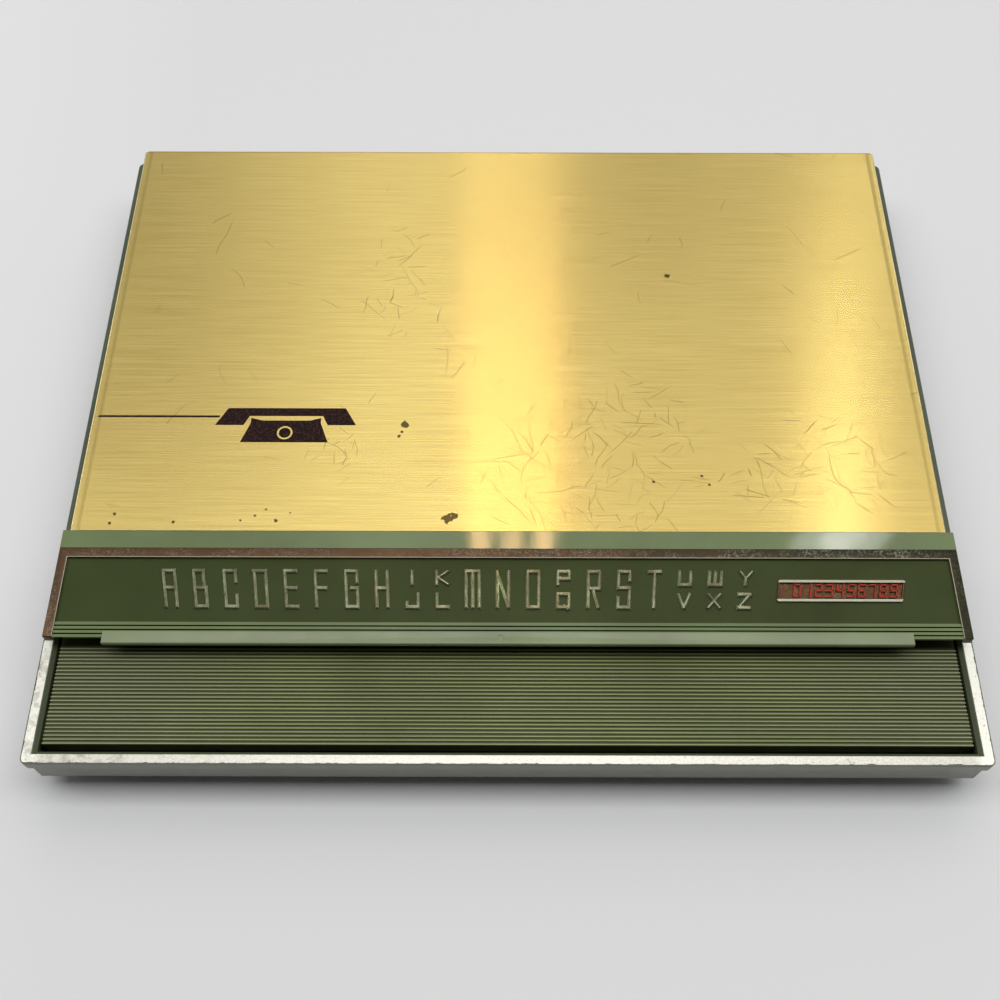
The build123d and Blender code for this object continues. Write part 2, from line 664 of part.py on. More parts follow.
# ---------------------------------------------------------------------------------------------------
# Touch bar, its pivot rod and return springs
# ---------------------------------------------------------------------------------------------------
with BuildPart() as touch_bar:
    # the ribbed plate is one profile drawn across the bar
    with BuildSketch(Plane.YZ):
        box_between(bar_front_y, bar_rear_y, bar_plate_bottom, bar_plate_top)
        for i in range(bar_rib_count):
            rib_y = bar_front_y + bar_rib_width / 2 + i * bar_rib_pitch
            with Locations((rib_y, bar_plate_top + bar_rib_height / 2)):
                Trapezoid(bar_rib_width, bar_rib_height, bar_rib_slope)
    extrude(amount=bar_width / 2, both=True)
    # skirt on the front and sides
    with BuildSketch(Plane.XY.offset(bar_plate_bottom)):
        inner_half = bar_width / 2 - bar_skirt
        box_between(-bar_width / 2, bar_width / 2, bar_front_y, bar_rear_y)
        box_between(-inner_half, inner_half, bar_front_y + bar_skirt, bar_rear_y, mode=Mode.SUBTRACT)
    extrude(amount=-bar_skirt_depth)
    # the ends of the skirt are cut clear of the pivot lugs
    with BuildSketch(Plane.XY.offset(bar_plate_bottom)):
        skirt_end_y = bar_pivot_y - knuckle_radius - bar_lug_gap
        box_between(-bar_width / 2, bar_width / 2, skirt_end_y, bar_rear_y)
    extrude(amount=-bar_skirt_depth, mode=Mode.SUBTRACT)
    # stop tabs that catch under the rim
    tab_top = rim_z - rim_flange - bar_tab_gap
    with BuildSketch(Plane.XY.offset(tab_top)):
        for side in (-1, 1):
            tab_x = side * (bar_width / 2 + (bar_tab_width - bar_skirt) / 2)
            with Locations((tab_x, bar_front_y + bar_tab_setback + bar_tab_length / 2)):
                Rectangle(bar_tab_width + bar_skirt, bar_tab_length)
    extrude(amount=-bar_tab_height)
    # ears on the pivot rod
    for x in bar_ear_places:
        with BuildSketch(Plane.YZ.offset(x)):
            with Locations((bar_pivot_y, bar_pivot_z)):
                Circle(knuckle_radius)
            box_between(bar_pivot_y - knuckle_radius, bar_rear_y, bar_pivot_z, bar_plate_bottom)
            with Locations((bar_pivot_y, bar_pivot_z)):
                Circle(rod_radius + running_clearance, mode=Mode.SUBTRACT)
        extrude(amount=ear_thickness / 2, both=True)
    # holes for the latch strip's rivets
    latch_rivet_y = latch_web_front - latch_flange / 2
    with BuildSketch(Plane.XY.offset(bar_plate_bottom)):
        with Locations(*[(x, latch_rivet_y) for x in latch_rivet_x]):
            Circle(latch_rivet_radius)
    extrude(amount=bar_plate + bar_rib_height, mode=Mode.SUBTRACT)

touch_bar.part.label = "touch_bar"
export_step(touch_bar.part, "parts/touch_bar.step")

with BuildPart() as bar_pivot_rod:
    pivot_half = bar_lug_places[-1] + ear_thickness / 2 + rod_overhang
    with BuildSketch(Plane.YZ):
        with Locations((bar_pivot_y, bar_pivot_z)):
            Circle(rod_radius)
    extrude(amount=pivot_half, both=True)

bar_pivot_rod.part.label = "bar_pivot_rod"
export_step(bar_pivot_rod.part, "parts/bar_pivot_rod.step")

for spring_name, side in (("bar_spring_left", -1), ("bar_spring_right", 1)):
    spring_bottom = floor_z + bar_spring_wire + bar_spring_seat_gap
    spring_height = bar_plate_bottom - bar_spring_wire - bar_spring_seat_gap - spring_bottom
    spring_origin = (side * bar_spring_x, bar_spring_y, spring_bottom)
    with BuildPart() as bar_spring:
        with BuildLine(Plane(origin=spring_origin)):
            coil = Helix(spring_height / bar_spring_turns, spring_height, bar_spring_radius)
        with BuildSketch(Plane(origin=coil @ 0, z_dir=coil % 0)):
            Circle(bar_spring_wire)
        sweep(path=coil, is_frenet=True)
    bar_spring.part.label = spring_name
    export_step(bar_spring.part, f"parts/{spring_name}.step")

# ---------------------------------------------------------------------------------------------------
# Latch strip on the bar and catch strip on the lid
# ---------------------------------------------------------------------------------------------------
with BuildPart() as latch_strip:
    nose_top = latch_nose_bottom + latch_sheet
    with BuildSketch(Plane.YZ):
        box_between(latch_web_front - latch_flange, latch_web_front + latch_sheet,
                    bar_plate_top, bar_plate_top + latch_sheet)
        box_between(latch_web_front, latch_web_front + latch_sheet, bar_plate_top, nose_top)
        box_between(latch_web_front, latch_nose_tip, latch_nose_bottom, nose_top)
    extrude(amount=latch_length / 2, both=True)
    with BuildSketch(Plane.XY.offset(bar_plate_top)):
        with Locations(*[(x, latch_rivet_y) for x in latch_rivet_x]):
            Circle(latch_rivet_radius)
    extrude(amount=latch_sheet, mode=Mode.SUBTRACT)

latch_strip.part.label = "latch_strip"
export_step(latch_strip.part, "parts/latch_strip.step")

with BuildPart() as latch_rivets:
    rivet_length = bar_plate + latch_sheet
    for level, direction in ((bar_plate_bottom, -1), (bar_plate_top + latch_sheet, 1)):
        with BuildSketch(Plane.XY.offset(level)):
            with Locations(*[(x, latch_rivet_y) for x in latch_rivet_x]):
                Circle(latch_rivet_head)
        extrude(amount=direction * latch_rivet_head_height)
    with BuildSketch(Plane.XY.offset(bar_plate_bottom)):
        with Locations(*[(x, latch_rivet_y) for x in latch_rivet_x]):
            Circle(latch_rivet_radius)
    extrude(amount=rivet_length)

latch_rivets.part.label = "latch_rivets"
export_step(latch_rivets.part, "parts/latch_rivets.step")

catch_flange_z = lid_border - latch_sheet
catch_rivet_y = catch_web_rear - latch_sheet - catch_flange / 2
with BuildPart() as catch_strip:
    web_front = catch_web_rear - latch_sheet
    with BuildSketch(Plane.YZ):
        box_between(web_front - catch_flange, catch_web_rear, catch_flange_z, lid_border)
        box_between(web_front, catch_web_rear, catch_lip_bottom, lid_border)
        box_between(catch_lip_tip, catch_web_rear, catch_lip_bottom, catch_lip_bottom + latch_sheet)
    extrude(amount=catch_length / 2, both=True)
    with BuildSketch(Plane.XY.offset(catch_flange_z)):
        with Locations(*[(x, catch_rivet_y) for x in latch_rivet_x]):
            Circle(latch_rivet_radius)
    extrude(amount=latch_sheet, mode=Mode.SUBTRACT)

catch_strip.part.label = "catch_strip"
export_step(catch_strip.part, "parts/catch_strip.step")

with BuildPart() as catch_rivets:
    with BuildSketch(Plane.XY.offset(catch_flange_z)):
        with Locations(*[(x, catch_rivet_y) for x in latch_rivet_x]):
            Circle(latch_rivet_head)
    extrude(amount=-latch_rivet_head_height)
    with BuildSketch(Plane.XY.offset(catch_flange_z)):
        with Locations(*[(x, catch_rivet_y) for x in latch_rivet_x]):
            Circle(latch_rivet_radius)
    extrude(amount=panel_seat - catch_flange_z)

catch_rivets.part.label = "catch_rivets"
export_step(catch_rivets.part, "parts/catch_rivets.step")

# ---------------------------------------------------------------------------------------------------
# Lid moulding
# ---------------------------------------------------------------------------------------------------
ledge_front_y = lid_front_y - ledge_overhang
ledge_rear_y = ledge_front_y + ledge_depth
ledge_top = lid_top + ledge_rise
ledge_bottom = ledge_top - ledge_thickness

with BuildPart() as lid_shell:
    # main slab under the plate, front band under the trim and the plain strip between them
    with BuildSketch(Plane.XY.offset(lid_border)):
        box_between(-lid_width / 2, lid_width / 2, plate_front_y, lid_rear_y)
    extrude(amount=plate_seat - lid_border)
    with BuildSketch(Plane.XY.offset(lid_border)):
        box_between(-band_core_width / 2, band_core_width / 2, lid_front_y, strip_front_y)
    extrude(amount=trim_seat - lid_border)
    with BuildSketch(Plane.XY.offset(lid_border)):
        box_between(-band_width / 2, band_width / 2, strip_front_y, plate_front_y)
    extrude(amount=strip_top - lid_border)
    # land for the fine ribs along the front edge
    with BuildSketch(Plane.XY.offset(lid_border)):
        box_between(-panel_width / 2, panel_width / 2, lid_front_y, panel_front_y)
    extrude(amount=rib_land_top - lid_border)
    rib_step = rib_land_depth / rib_land_count
    with BuildSketch(Plane.XY.offset(rib_land_top)):
        for i in range(rib_land_count):
            with Locations((0, panel_front_y - i * rib_step - rib_land_groove / 2)):
                Rectangle(panel_width, rib_land_groove)
    extrude(amount=-rib_land_groove_depth, mode=Mode.SUBTRACT)
    # beside the ledge the front wall stands back under the land
    with BuildSketch(Plane.XY.offset(lid_border)):
        for side in (-1, 1):
            undercut_ends = (side * (ledge_length / 2 + land_undercut_gap), side * panel_width / 2)
            box_between(min(undercut_ends), max(undercut_ends), lid_front_y, lid_front_y + land_undercut)
    extrude(amount=rib_land_top - land_lip - lid_border, mode=Mode.SUBTRACT)
    # seat of the finger ledge
    with BuildSketch(Plane.XY.offset(ledge_bottom)):
        box_between(-ledge_length / 2, ledge_length / 2, ledge_front_y, ledge_rear_y)
    extrude(amount=lid_top - ledge_bottom, mode=Mode.SUBTRACT)
    # well of the letter panel
    with BuildSketch(Plane.XY.offset(panel_seat)):
        box_between(-panel_width / 2, panel_width / 2, panel_front_y, panel_rear_y)
    extrude(amount=lid_top - panel_seat, mode=Mode.SUBTRACT)
    # notches for the ends of the trim at the front corners
    with BuildSketch(Plane.XY.offset(lid_border)):
        for side in (-1, 1):
            corner_x = side * (panel_width / 2 + trim_side_width / 2)
            with Locations((corner_x, lid_front_y + trim_skin / 2)):
                Rectangle(trim_side_width, trim_skin)
    extrude(amount=lid_top - lid_border, mode=Mode.SUBTRACT)
    # hollow under the main slab
    with BuildSketch(Plane.XY.offset(lid_border)):
        box_between(-skirt_inner_width / 2, skirt_inner_width / 2, plate_front_y + border_width,
                    lid_rear_y - rear_skirt_thickness)
    extrude(amount=edge_drop, mode=Mode.SUBTRACT)
    # side skirts and rear skirt
    skirt_front_y = bar_rear_y + catch_lip + 2 * latch_sheet + skirt_tab_gap
    skirt_bottom = rim_z - skirt_depth
    with BuildSketch(Plane.XY.offset(skirt_bottom)):
        for side in (-1, 1):
            with Locations((side * (skirt_width - skirt_thickness) / 2, (skirt_front_y + lid_rear_y) / 2)):
                Rectangle(skirt_thickness, lid_rear_y - skirt_front_y)
        box_between(-skirt_width / 2, skirt_width / 2, lid_rear_y - rear_skirt_thickness, lid_rear_y)
    extrude(amount=lid_border - skirt_bottom)
    # knuckles on the hinge rod
    for x in lid_knuckle_places:
        with BuildSketch(Plane.YZ.offset(x)):
            with Locations((hinge_y, hinge_z)):
                Circle(knuckle_radius)
            box_between(hinge_y - knuckle_radius, lid_rear_y - rear_skirt_thickness / 2, hinge_z,
                        lid_underside + knuckle_root)
        extrude(amount=lid_knuckle_width / 2, both=True)
    with BuildSketch(Plane.YZ):
        with Locations((hinge_y, hinge_z)):
            Circle(rod_radius + running_clearance)
    extrude(amount=skirt_inner_width / 2, both=True, mode=Mode.SUBTRACT)
    # the rear skirt is cut away where the tray's lugs stand
    for x in base_knuckle_places:
        with BuildSketch(Plane.XY.offset(skirt_bottom)):
            with Locations((x, lid_rear_y)):
                Rectangle(base_knuckle_width + 2 * hinge_gap, 2 * hinge_inset)
        extrude(amount=lid_border - skirt_bottom, mode=Mode.SUBTRACT)
    # stops that rest on the rim
    with BuildSketch(Plane.XY.offset(lid_border)):
        for side in (-1, 1):
            stop_x = side * (band_core_width / 2 - rest_stop_width / 2)
            with Locations((stop_x, panel_front_y + rest_stop_length)):
                Rectangle(rest_stop_width, rest_stop_length)
    extrude(amount=-(rim_lid_gap - rest_stop_gap))
    # holes for the catch strip's rivets
    with BuildSketch(Plane.XY.offset(lid_border)):
        with Locations(*[(x, catch_rivet_y) for x in latch_rivet_x]):
            Circle(latch_rivet_radius)
    extrude(amount=panel_seat - lid_border, mode=Mode.SUBTRACT)

lid_shell.part.label = "lid_shell"
export_step(lid_shell.part, "parts/lid_shell.step")

with BuildPart() as lid_plate:
    with BuildSketch(Plane.XY.offset(plate_seat)):
        plate_half = lid_width / 2 - plate_side_inset
        box_between(-plate_half, plate_half, plate_front_y, lid_rear_y)
    extrude(amount=plate_thickness)
    fillet(lid_plate.edges().filter_by(Axis.Z).group_by(Axis.Y)[-1], plate_corner_radius)
    plate_top = lid_plate.faces().sort_by(Axis.Z)[-1]
    fillet(plate_top.edges().filter_by(Axis.Y), plate_edge_radius)

lid_plate.part.label = "lid_plate"
export_step(lid_plate.part, "parts/lid_plate.step")

# ---------------------------------------------------------------------------------------------------
# Letter panel, trim, ledge and label plate
# ---------------------------------------------------------------------------------------------------
with BuildPart() as letter_panel:
    with BuildSketch(Plane.XY.offset(panel_seat)):
        box_between(-panel_width / 2, panel_width / 2, panel_front_y, panel_rear_y)
    extrude(amount=panel_thickness)

letter_panel.part.label = "letter_panel"
export_step(letter_panel.part, "parts/letter_panel.step")

with BuildPart() as band_trim:
    # three sided frame: rear bar and two side bars
    with BuildSketch(Plane.XY.offset(trim_seat)):
        box_between(-band_width / 2, band_width / 2, lid_front_y, strip_front_y)
        with Locations((0, (lid_front_y + panel_rear_y) / 2)):
            Rectangle(panel_width, panel_rear_y - lid_front_y, mode=Mode.SUBTRACT)
    extrude(amount=trim_thickness)
    # skins down the sides and the front ends
    with BuildSketch(Plane.XY.offset(lid_border)):
        for side in (-1, 1):
            with Locations((side * (band_width - trim_skin) / 2, (lid_front_y + strip_front_y) / 2)):
                Rectangle(trim_skin, strip_front_y - lid_front_y)
            end_x = side * (panel_width / 2 + trim_side_width / 2)
            with Locations((end_x, lid_front_y + trim_skin / 2)):
                Rectangle(trim_side_width, trim_skin)
    extrude(amount=trim_seat - lid_border)
    trim_top = band_trim.faces().sort_by(Axis.Z)[-1]
    fillet(trim_top.edges(), trim_edge_radius)

band_trim.part.label = "band_trim"
export_step(band_trim.part, "parts/band_trim.step")

with BuildPart() as finger_ledge:
    with BuildSketch(Plane.XY.offset(ledge_bottom)):
        box_between(-ledge_length / 2, ledge_length / 2, ledge_front_y, ledge_rear_y)
    extrude(amount=ledge_thickness)
    ledge_edges = finger_ledge.edges().filter_by(Axis.X).group_by(Axis.Y)[0]
    fillet(ledge_edges, ledge_edge_radius)
    ball_radius = (dimple_radius**2 + dimple_depth**2) / (2 * dimple_depth)
    with Locations((dimple_x, (ledge_front_y + ledge_rear_y) / 2, ledge_top - dimple_depth + ball_radius)):
        Sphere(ball_radius, mode=Mode.SUBTRACT)

finger_ledge.part.label = "finger_ledge"
export_step(finger_ledge.part, "parts/finger_ledge.step")

label_y = lid_front_y + label_setback


def fanned(x, y, middle_y):
    """A point moved sideways so that a line that runs front to rear follows the letters' fan."""
    return x * (1 + (y - middle_y) / letter_fan), y


def draw_label(length, depth):
    """A plate outline of this size about the label's middle, with its ends on the fan."""
    corners = [(label_center_x + u * length / 2, label_y + v * depth / 2)
               for u, v in ((-1, -1), (1, -1), (1, 1), (-1, 1))]
    Polygon(*[fanned(x, y, label_y) for x, y in corners], align=None)


with BuildPart() as label_plate:
    with BuildSketch(Plane.XY.offset(panel_top)) as label_outline:
        draw_label(label_length, label_depth)
        fillet(label_outline.vertices(), label_corner)
    extrude(amount=label_thickness)
    # a rolled bead stands along its front and rear edges
    with BuildSketch(Plane.XY.offset(panel_top + label_thickness / 2)):
        draw_label(label_length - 2 * label_corner, label_depth - 2 * label_bead)
    extrude(amount=label_thickness, mode=Mode.SUBTRACT)

label_plate.part.label = "label_plate"
export_step(label_plate.part, "parts/label_plate.step")

# ---------------------------------------------------------------------------------------------------
# Raised letters: squared strokes on a unit square, two letters in some columns
# ---------------------------------------------------------------------------------------------------
strokes = {
    "A": [[(0, 0), (0, 1), (1, 1), (1, 0)], [(0, 0.52), (1, 0.52)]],
    "B": [[(0, 0), (0, 1), (0.85, 1), (0.85, 0.52)], [(0, 0.52), (1, 0.52), (1, 0), (0, 0)]],
    "C": [[(1, 0.68), (1, 1), (0, 1), (0, 0), (1, 0), (1, 0.32)]],
    "D": [[(-0.12, 1), (1, 1), (1, 0), (0, 0), (0, 1)]],
    "E": [[(1, 1), (0, 1), (0, 0), (1, 0)], [(0, 0.52), (0.9, 0.52)]],
    "F": [[(1, 1), (0, 1), (0, 0)], [(0, 0.52), (0.9, 0.52)]],
    "G": [[(1, 0.68), (1, 1), (0, 1), (0, 0), (1, 0), (1, 0.52), (0.5, 0.52)]],
    "H": [[(0, 0), (0, 1)], [(1, 0), (1, 1)], [(0, 0.52), (1, 0.52)]],
    "I": [[(0.5, 0), (0.5, 1)]],
    "J": [[(1, 1), (1, 0), (0, 0), (0, 0.35)]],
    "K": [[(0, 0), (0, 1)], [(1, 1), (0.12, 0.5), (1, 0)]],
    "L": [[(0, 1), (0, 0), (1, 0)]],
    "M": [[(0, 0), (0, 1), (1, 1), (1, 0)], [(0.5, 0), (0.5, 1)]],
    "N": [[(0, 0), (0, 1), (1, 0), (1, 1)]],
    "O": [[(0, 0), (0, 1), (1, 1), (1, 0), (0, 0)]],
    "P": [[(0, 0), (0, 1), (1, 1), (1, 0.45), (0, 0.45)]],
    "Q": [[(0, 0), (0, 1), (1, 1), (1, 0), (0, 0)], [(0.6, 0.15), (0.9, -0.15)]],
    "R": [[(0, 0), (0, 1), (1, 1), (1, 0.52), (0, 0.52)], [(0.45, 0.52), (0.95, 0)]],
    "S": [[(1, 0.74), (1, 1), (0, 1), (0, 0.54), (1, 0.54), (1, 0), (0, 0), (0, 0.28)]],
    "T": [[(0, 1), (1, 1)], [(0.5, 1), (0.5, 0)]],
    "U": [[(0, 1), (0, 0), (1, 0), (1, 1)]],
    "V": [[(0, 1), (0.5, 0), (1, 1)]],
    "W": [[(0, 1), (0, 0), (1, 0), (1, 1)], [(0.5, 0), (0.5, 1)]],
    "X": [[(0, 0), (1, 1)], [(0, 1), (1, 0)]],
    "Y": [[(0, 1), (0.5, 0.5), (1, 1)], [(0.5, 0.5), (0.5, 0)]],
    "Z": [[(0, 1), (1, 1), (0, 0), (1, 0)]],
}


def draw_letter(letter, center_x, low_y, width, height):
    """Add one letter's strokes to the current sketch."""
    width *= wide_letters.get(letter, 1)
    for path in strokes[letter]:
        points = [fanned(center_x + (u - 0.5) * width, low_y + v * height, letter_y) for u, v in path]
        for (ax, ay), (bx, by) in zip(points, points[1:]):
            turn = degrees(atan2(by - ay, bx - ax))
            with Locations(Location(((ax + bx) / 2, (ay + by) / 2, 0), (0, 0, turn))):
                Rectangle(hypot(bx - ax, by - ay) + letter_stroke,
                          letter_level_stroke if ay == by else letter_stroke)


letter_y = lid_front_y + letter_setback
with BuildPart() as index_letters:
    inner_width = letter_width - letter_stroke
    inner_height = letter_height - letter_stroke
    half_height = (letter_height - letter_gap) / 2 - letter_stroke
    with BuildSketch(Plane.XY.offset(panel_top)):
        for name, x in zip(columns, column_places):
            low_y = letter_y - inner_height / 2
            if len(name) == 1:
                draw_letter(name, x, low_y, inner_width, inner_height)
            else:
                upper_y = low_y + inner_height - half_height
                draw_letter(name[0], x, upper_y, inner_width, half_height)
                draw_letter(name[1], x, low_y, inner_width, half_height)
    extrude(amount=letter_relief)

index_letters.part.label = "index_letters"
export_step(index_letters.part, "parts/index_letters.step")

# ---------------------------------------------------------------------------------------------------
# What was made
# ---------------------------------------------------------------------------------------------------
print(f"overall {base_width:.1f} x {base_depth:.1f} x {ledge_top:.2f} mm")
print(f"rim {rim_z:.2f}, lid underside {lid_underside:.2f}, lid top {lid_top:.2f}")
print(f"hinge axis y {hinge_y:.3f}, z {hinge_z:.3f}")
print(f"rings y {ring_y:.3f}, z {ring_z:.3f}, radius {ring_radius:.3f}")
print(f"touch bar pivot y {bar_pivot_y:.3f}, z {bar_pivot_z:.3f}, travel {bar_travel:.1f} degrees")
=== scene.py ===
# %% [markdown]
# # A pop up telephone index
#
# The object is a slim desk index. A moulded tray holds a stack of index leaves on wire rings, and a lid
# with a brushed brass face closes it. The alphabet stands in raised letters along the lid's front band,
# and a ribbed touch bar in front of the lid frees its latch.
#
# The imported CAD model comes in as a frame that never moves. Shapes that are already right are kept and
# only get a finish. Shapes that need more detail are modelled again in place and ride on the same body.

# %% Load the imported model
import json
import math

import bpy
from mathutils import Matrix, Vector

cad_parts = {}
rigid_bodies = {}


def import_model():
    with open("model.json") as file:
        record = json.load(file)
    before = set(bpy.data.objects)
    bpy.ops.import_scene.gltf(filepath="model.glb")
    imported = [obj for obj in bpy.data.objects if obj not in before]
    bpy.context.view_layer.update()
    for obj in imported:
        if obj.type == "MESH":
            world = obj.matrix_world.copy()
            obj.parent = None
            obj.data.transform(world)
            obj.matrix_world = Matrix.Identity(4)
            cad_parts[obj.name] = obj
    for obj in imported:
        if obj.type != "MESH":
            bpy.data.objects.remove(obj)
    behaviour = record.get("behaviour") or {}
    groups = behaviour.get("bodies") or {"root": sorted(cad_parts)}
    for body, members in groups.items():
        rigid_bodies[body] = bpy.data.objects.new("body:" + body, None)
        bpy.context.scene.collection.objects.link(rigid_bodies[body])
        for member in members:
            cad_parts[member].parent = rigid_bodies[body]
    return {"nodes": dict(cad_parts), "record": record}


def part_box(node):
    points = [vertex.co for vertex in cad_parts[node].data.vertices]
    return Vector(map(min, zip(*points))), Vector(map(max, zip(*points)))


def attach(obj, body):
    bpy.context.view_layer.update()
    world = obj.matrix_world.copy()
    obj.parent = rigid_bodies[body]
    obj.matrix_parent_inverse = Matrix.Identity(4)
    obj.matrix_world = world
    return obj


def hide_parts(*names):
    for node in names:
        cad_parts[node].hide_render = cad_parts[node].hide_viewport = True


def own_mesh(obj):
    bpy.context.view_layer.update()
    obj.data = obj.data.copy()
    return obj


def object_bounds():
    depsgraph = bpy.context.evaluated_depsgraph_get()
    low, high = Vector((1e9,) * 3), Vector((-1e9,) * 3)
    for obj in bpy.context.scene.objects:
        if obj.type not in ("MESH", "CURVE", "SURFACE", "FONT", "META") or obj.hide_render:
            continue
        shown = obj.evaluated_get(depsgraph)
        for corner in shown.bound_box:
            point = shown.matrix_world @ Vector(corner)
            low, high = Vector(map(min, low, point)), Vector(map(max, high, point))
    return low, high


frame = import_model()
nodes = frame["nodes"]
cad_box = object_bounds()
MM = 0.001
print("nodes:", len(nodes), "box:", [round(side / MM, 1) for side in cad_box[1] - cad_box[0]], "mm")

# %% [markdown]
# ## Camera
#
# The object is seen from the front and well above, so that the brass face fills most of the view. A
# camera at this distance shows the sides running together towards the rear. Placing it by its height
# over the rim and its distance from the rim's front edge keeps those two numbers easy to check. A
# sixth of a degree of roll is the tilt of a camera held by hand.

# %% Place the camera
scene = bpy.context.scene
rim_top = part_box("rim_foil")[1].z
camera_over_rim = 312.2 * MM
camera_before_rim = 96.0 * MM
camera_pitch = math.radians(60.7)        # below the horizon
camera_roll = math.radians(0.15)
focal_length = 1.226                     # in image widths

bpy.ops.object.camera_add(location=(0, cad_box[0].y - camera_before_rim, rim_top + camera_over_rim))
camera = bpy.context.object
camera.rotation_euler = (Matrix.Rotation(math.pi / 2 - camera_pitch, 3, "X")
                         @ Matrix.Rotation(camera_roll, 3, "Z")).to_euler()
camera.data.sensor_width = 36
camera.data.lens = focal_length * camera.data.sensor_width
camera.data.shift_x = -0.0083
scene.camera = camera
print("camera at", [round(c / MM, 1) for c in camera.location], "mm, lens", round(camera.data.lens, 2), "mm")

# %% [markdown]
# ## Finishes as short lists of steps
#
# Every surface here is a moulded, plated, brushed or printed one, and each shows wear. In Blender such a
# finish is a small tree of nodes. Adding a node takes several lines, so one helper adds a node with its
# settings and its inputs, and a few more name the steps that come back: noise, a range, a mix, a bump.
# Patterns read Object coordinates. A part's object stays at the origin, so those are metres on the part.

# %% Node helpers
class Finish:
    """A material whose nodes are added one step at a time."""

    def __init__(self, name, color, roughness, metallic=0.0):
        self.material = bpy.data.materials.new(name)
        self.material.use_nodes = True
        self.tree = self.material.node_tree
        self.shader = self.tree.nodes["Principled BSDF"]
        self.set("Base Color", (*color, 1))
        self.set("Roughness", roughness)
        self.set("Metallic", metallic)
        self.place = self.node("TexCoord").outputs["Object"]
        self.axes = self.node("SeparateXYZ", {0: self.place}).outputs

    def set(self, socket, value):
        """Give one of the shader's sockets a plain value or another node's output."""
        if isinstance(value, bpy.types.NodeSocket):
            self.tree.links.new(value, self.shader.inputs[socket])
        else:
            self.shader.inputs[socket].default_value = value

    def node(self, kind, inputs=None, **settings):
        """Add a node with these settings. Each input is a plain value or another node's output."""
        new = self.tree.nodes.new("ShaderNode" + kind)
        for key, value in settings.items():
            setattr(new, key, value)
        for key, value in (inputs or {}).items():
            if isinstance(value, bpy.types.NodeSocket):
                self.tree.links.new(value, new.inputs[key])
            else:
                new.inputs[key].default_value = value
        return new

    def math(self, operation, first, second=0.0):
        """One step of arithmetic on numbers or outputs."""
        return self.node("Math", {0: first, 1: second}, operation=operation).outputs[0]

    def stretched(self, scale, turn=0.0, shift=(0, 0, 0), place=None):
        """The place, shifted, turned about the upright axis and stretched by three factors."""
        return self.node("Mapping", {"Vector": place or self.place, "Location": shift,
                                     "Rotation": (0, 0, turn), "Scale": scale}).outputs[0]

    def noise(self, scale, detail=2.0, place=None, roughness=0.5):
        """A cloudy value about 0.5. The scale is in features per metre."""
        return self.node("TexNoise", {"Vector": place or self.place, "Scale": scale, "Detail": detail,
                                      "Roughness": roughness}).outputs["Fac"]

    def between(self, value, low, high, start=0.0, end=1.0):
        """Stretch the range from low to high onto start to end, and hold it there outside."""
        return self.node("MapRange", {"Value": value, "From Min": low, "From Max": high,
                                      "To Min": start, "To Max": end}).outputs[0]

    def mix(self, factor, first, second):
        """Blend two colours, each a tuple or an output."""
        first, second = ((*c, 1) if isinstance(c, tuple) else c for c in (first, second))
        return self.node("Mix", {0: factor, 6: first, 7: second}, data_type="RGBA").outputs[2]

    def near(self, x, y, reach):
        """One at this place in millimetres, falling to nothing at this reach from it."""
        flat = self.node("VectorMath", {0: self.place, 1: (1, 1, 0)}, operation="MULTIPLY").outputs[0]
        away = self.node("VectorMath", {0: flat, 1: (x * MM, y * MM, 0)}, operation="DISTANCE")
        return self.between(away.outputs["Value"], reach * MM, 0.0)

    def bump(self, height, depth, strength=1.0):
        """Raise the surface by this depth in metres where height is one."""
        bumped = self.node("Bump", {"Height": height, "Distance": depth, "Strength": strength})
        self.set("Normal", bumped.outputs[0])

# %% [markdown]
# ## Floor and light
#
# The index lies on a plain pale floor under soft light. Metal shows what stands opposite it: the brass
# shows the room behind the index, so the world's grey there gives the brass its plain tone. The world is
# brightest behind the left middle and fades to both sides, which draws the slow change of tone across
# the brass. Three small lamps side by side give the bright band down its middle, and three more the band
# at its right. A soft lamp overhead lights the floor and the plastic. The world is darker in front, where
# a person would stand, so the shadow falls to the front.

# %% Floor
def deselect_all():
    """Leave nothing selected, so that an operator acts on the next piece alone."""
    if bpy.context.object and bpy.context.object.mode != "OBJECT":
        bpy.ops.object.mode_set(mode="OBJECT")
    bpy.ops.object.select_all(action="DESELECT")


deselect_all()
bpy.ops.mesh.primitive_plane_add(size=4, location=(0, 0.6, 0))
floor = bpy.context.object
floor.name = "floor"
paper = Finish("floor_paper", (0.80, 0.80, 0.80), 0.95)
paper_color = paper.mix(paper.noise(3.0), (0.90, 0.90, 0.905), (0.92, 0.92, 0.92))
# The floor is painted paler towards the left: painted light, for the brighter light falling on that side.
painted_light_left = paper.between(paper.axes["X"], -0.12, -0.20)
paper.set("Base Color", paper.mix(painted_light_left, paper_color, (0.97, 0.97, 0.965)))
floor.data.materials.append(paper.material)

# %% Lamps and world
def add_softbox(name, location, target, size, size_y, radiance, color=(1, 1, 1)):
    """A rectangular area lamp at location that faces target. A white wall as bright has radiance 1."""
    bpy.ops.object.light_add(type="AREA", location=location)
    lamp = bpy.context.object
    lamp.name = name
    lamp.data.shape = "RECTANGLE"
    lamp.data.size = size
    lamp.data.size_y = size_y
    lamp.data.energy = radiance * math.pi * size * size_y
    lamp.data.color = color
    lamp.rotation_euler = (Vector(target) - lamp.location).to_track_quat("-Z", "Y").to_euler()
    return lamp


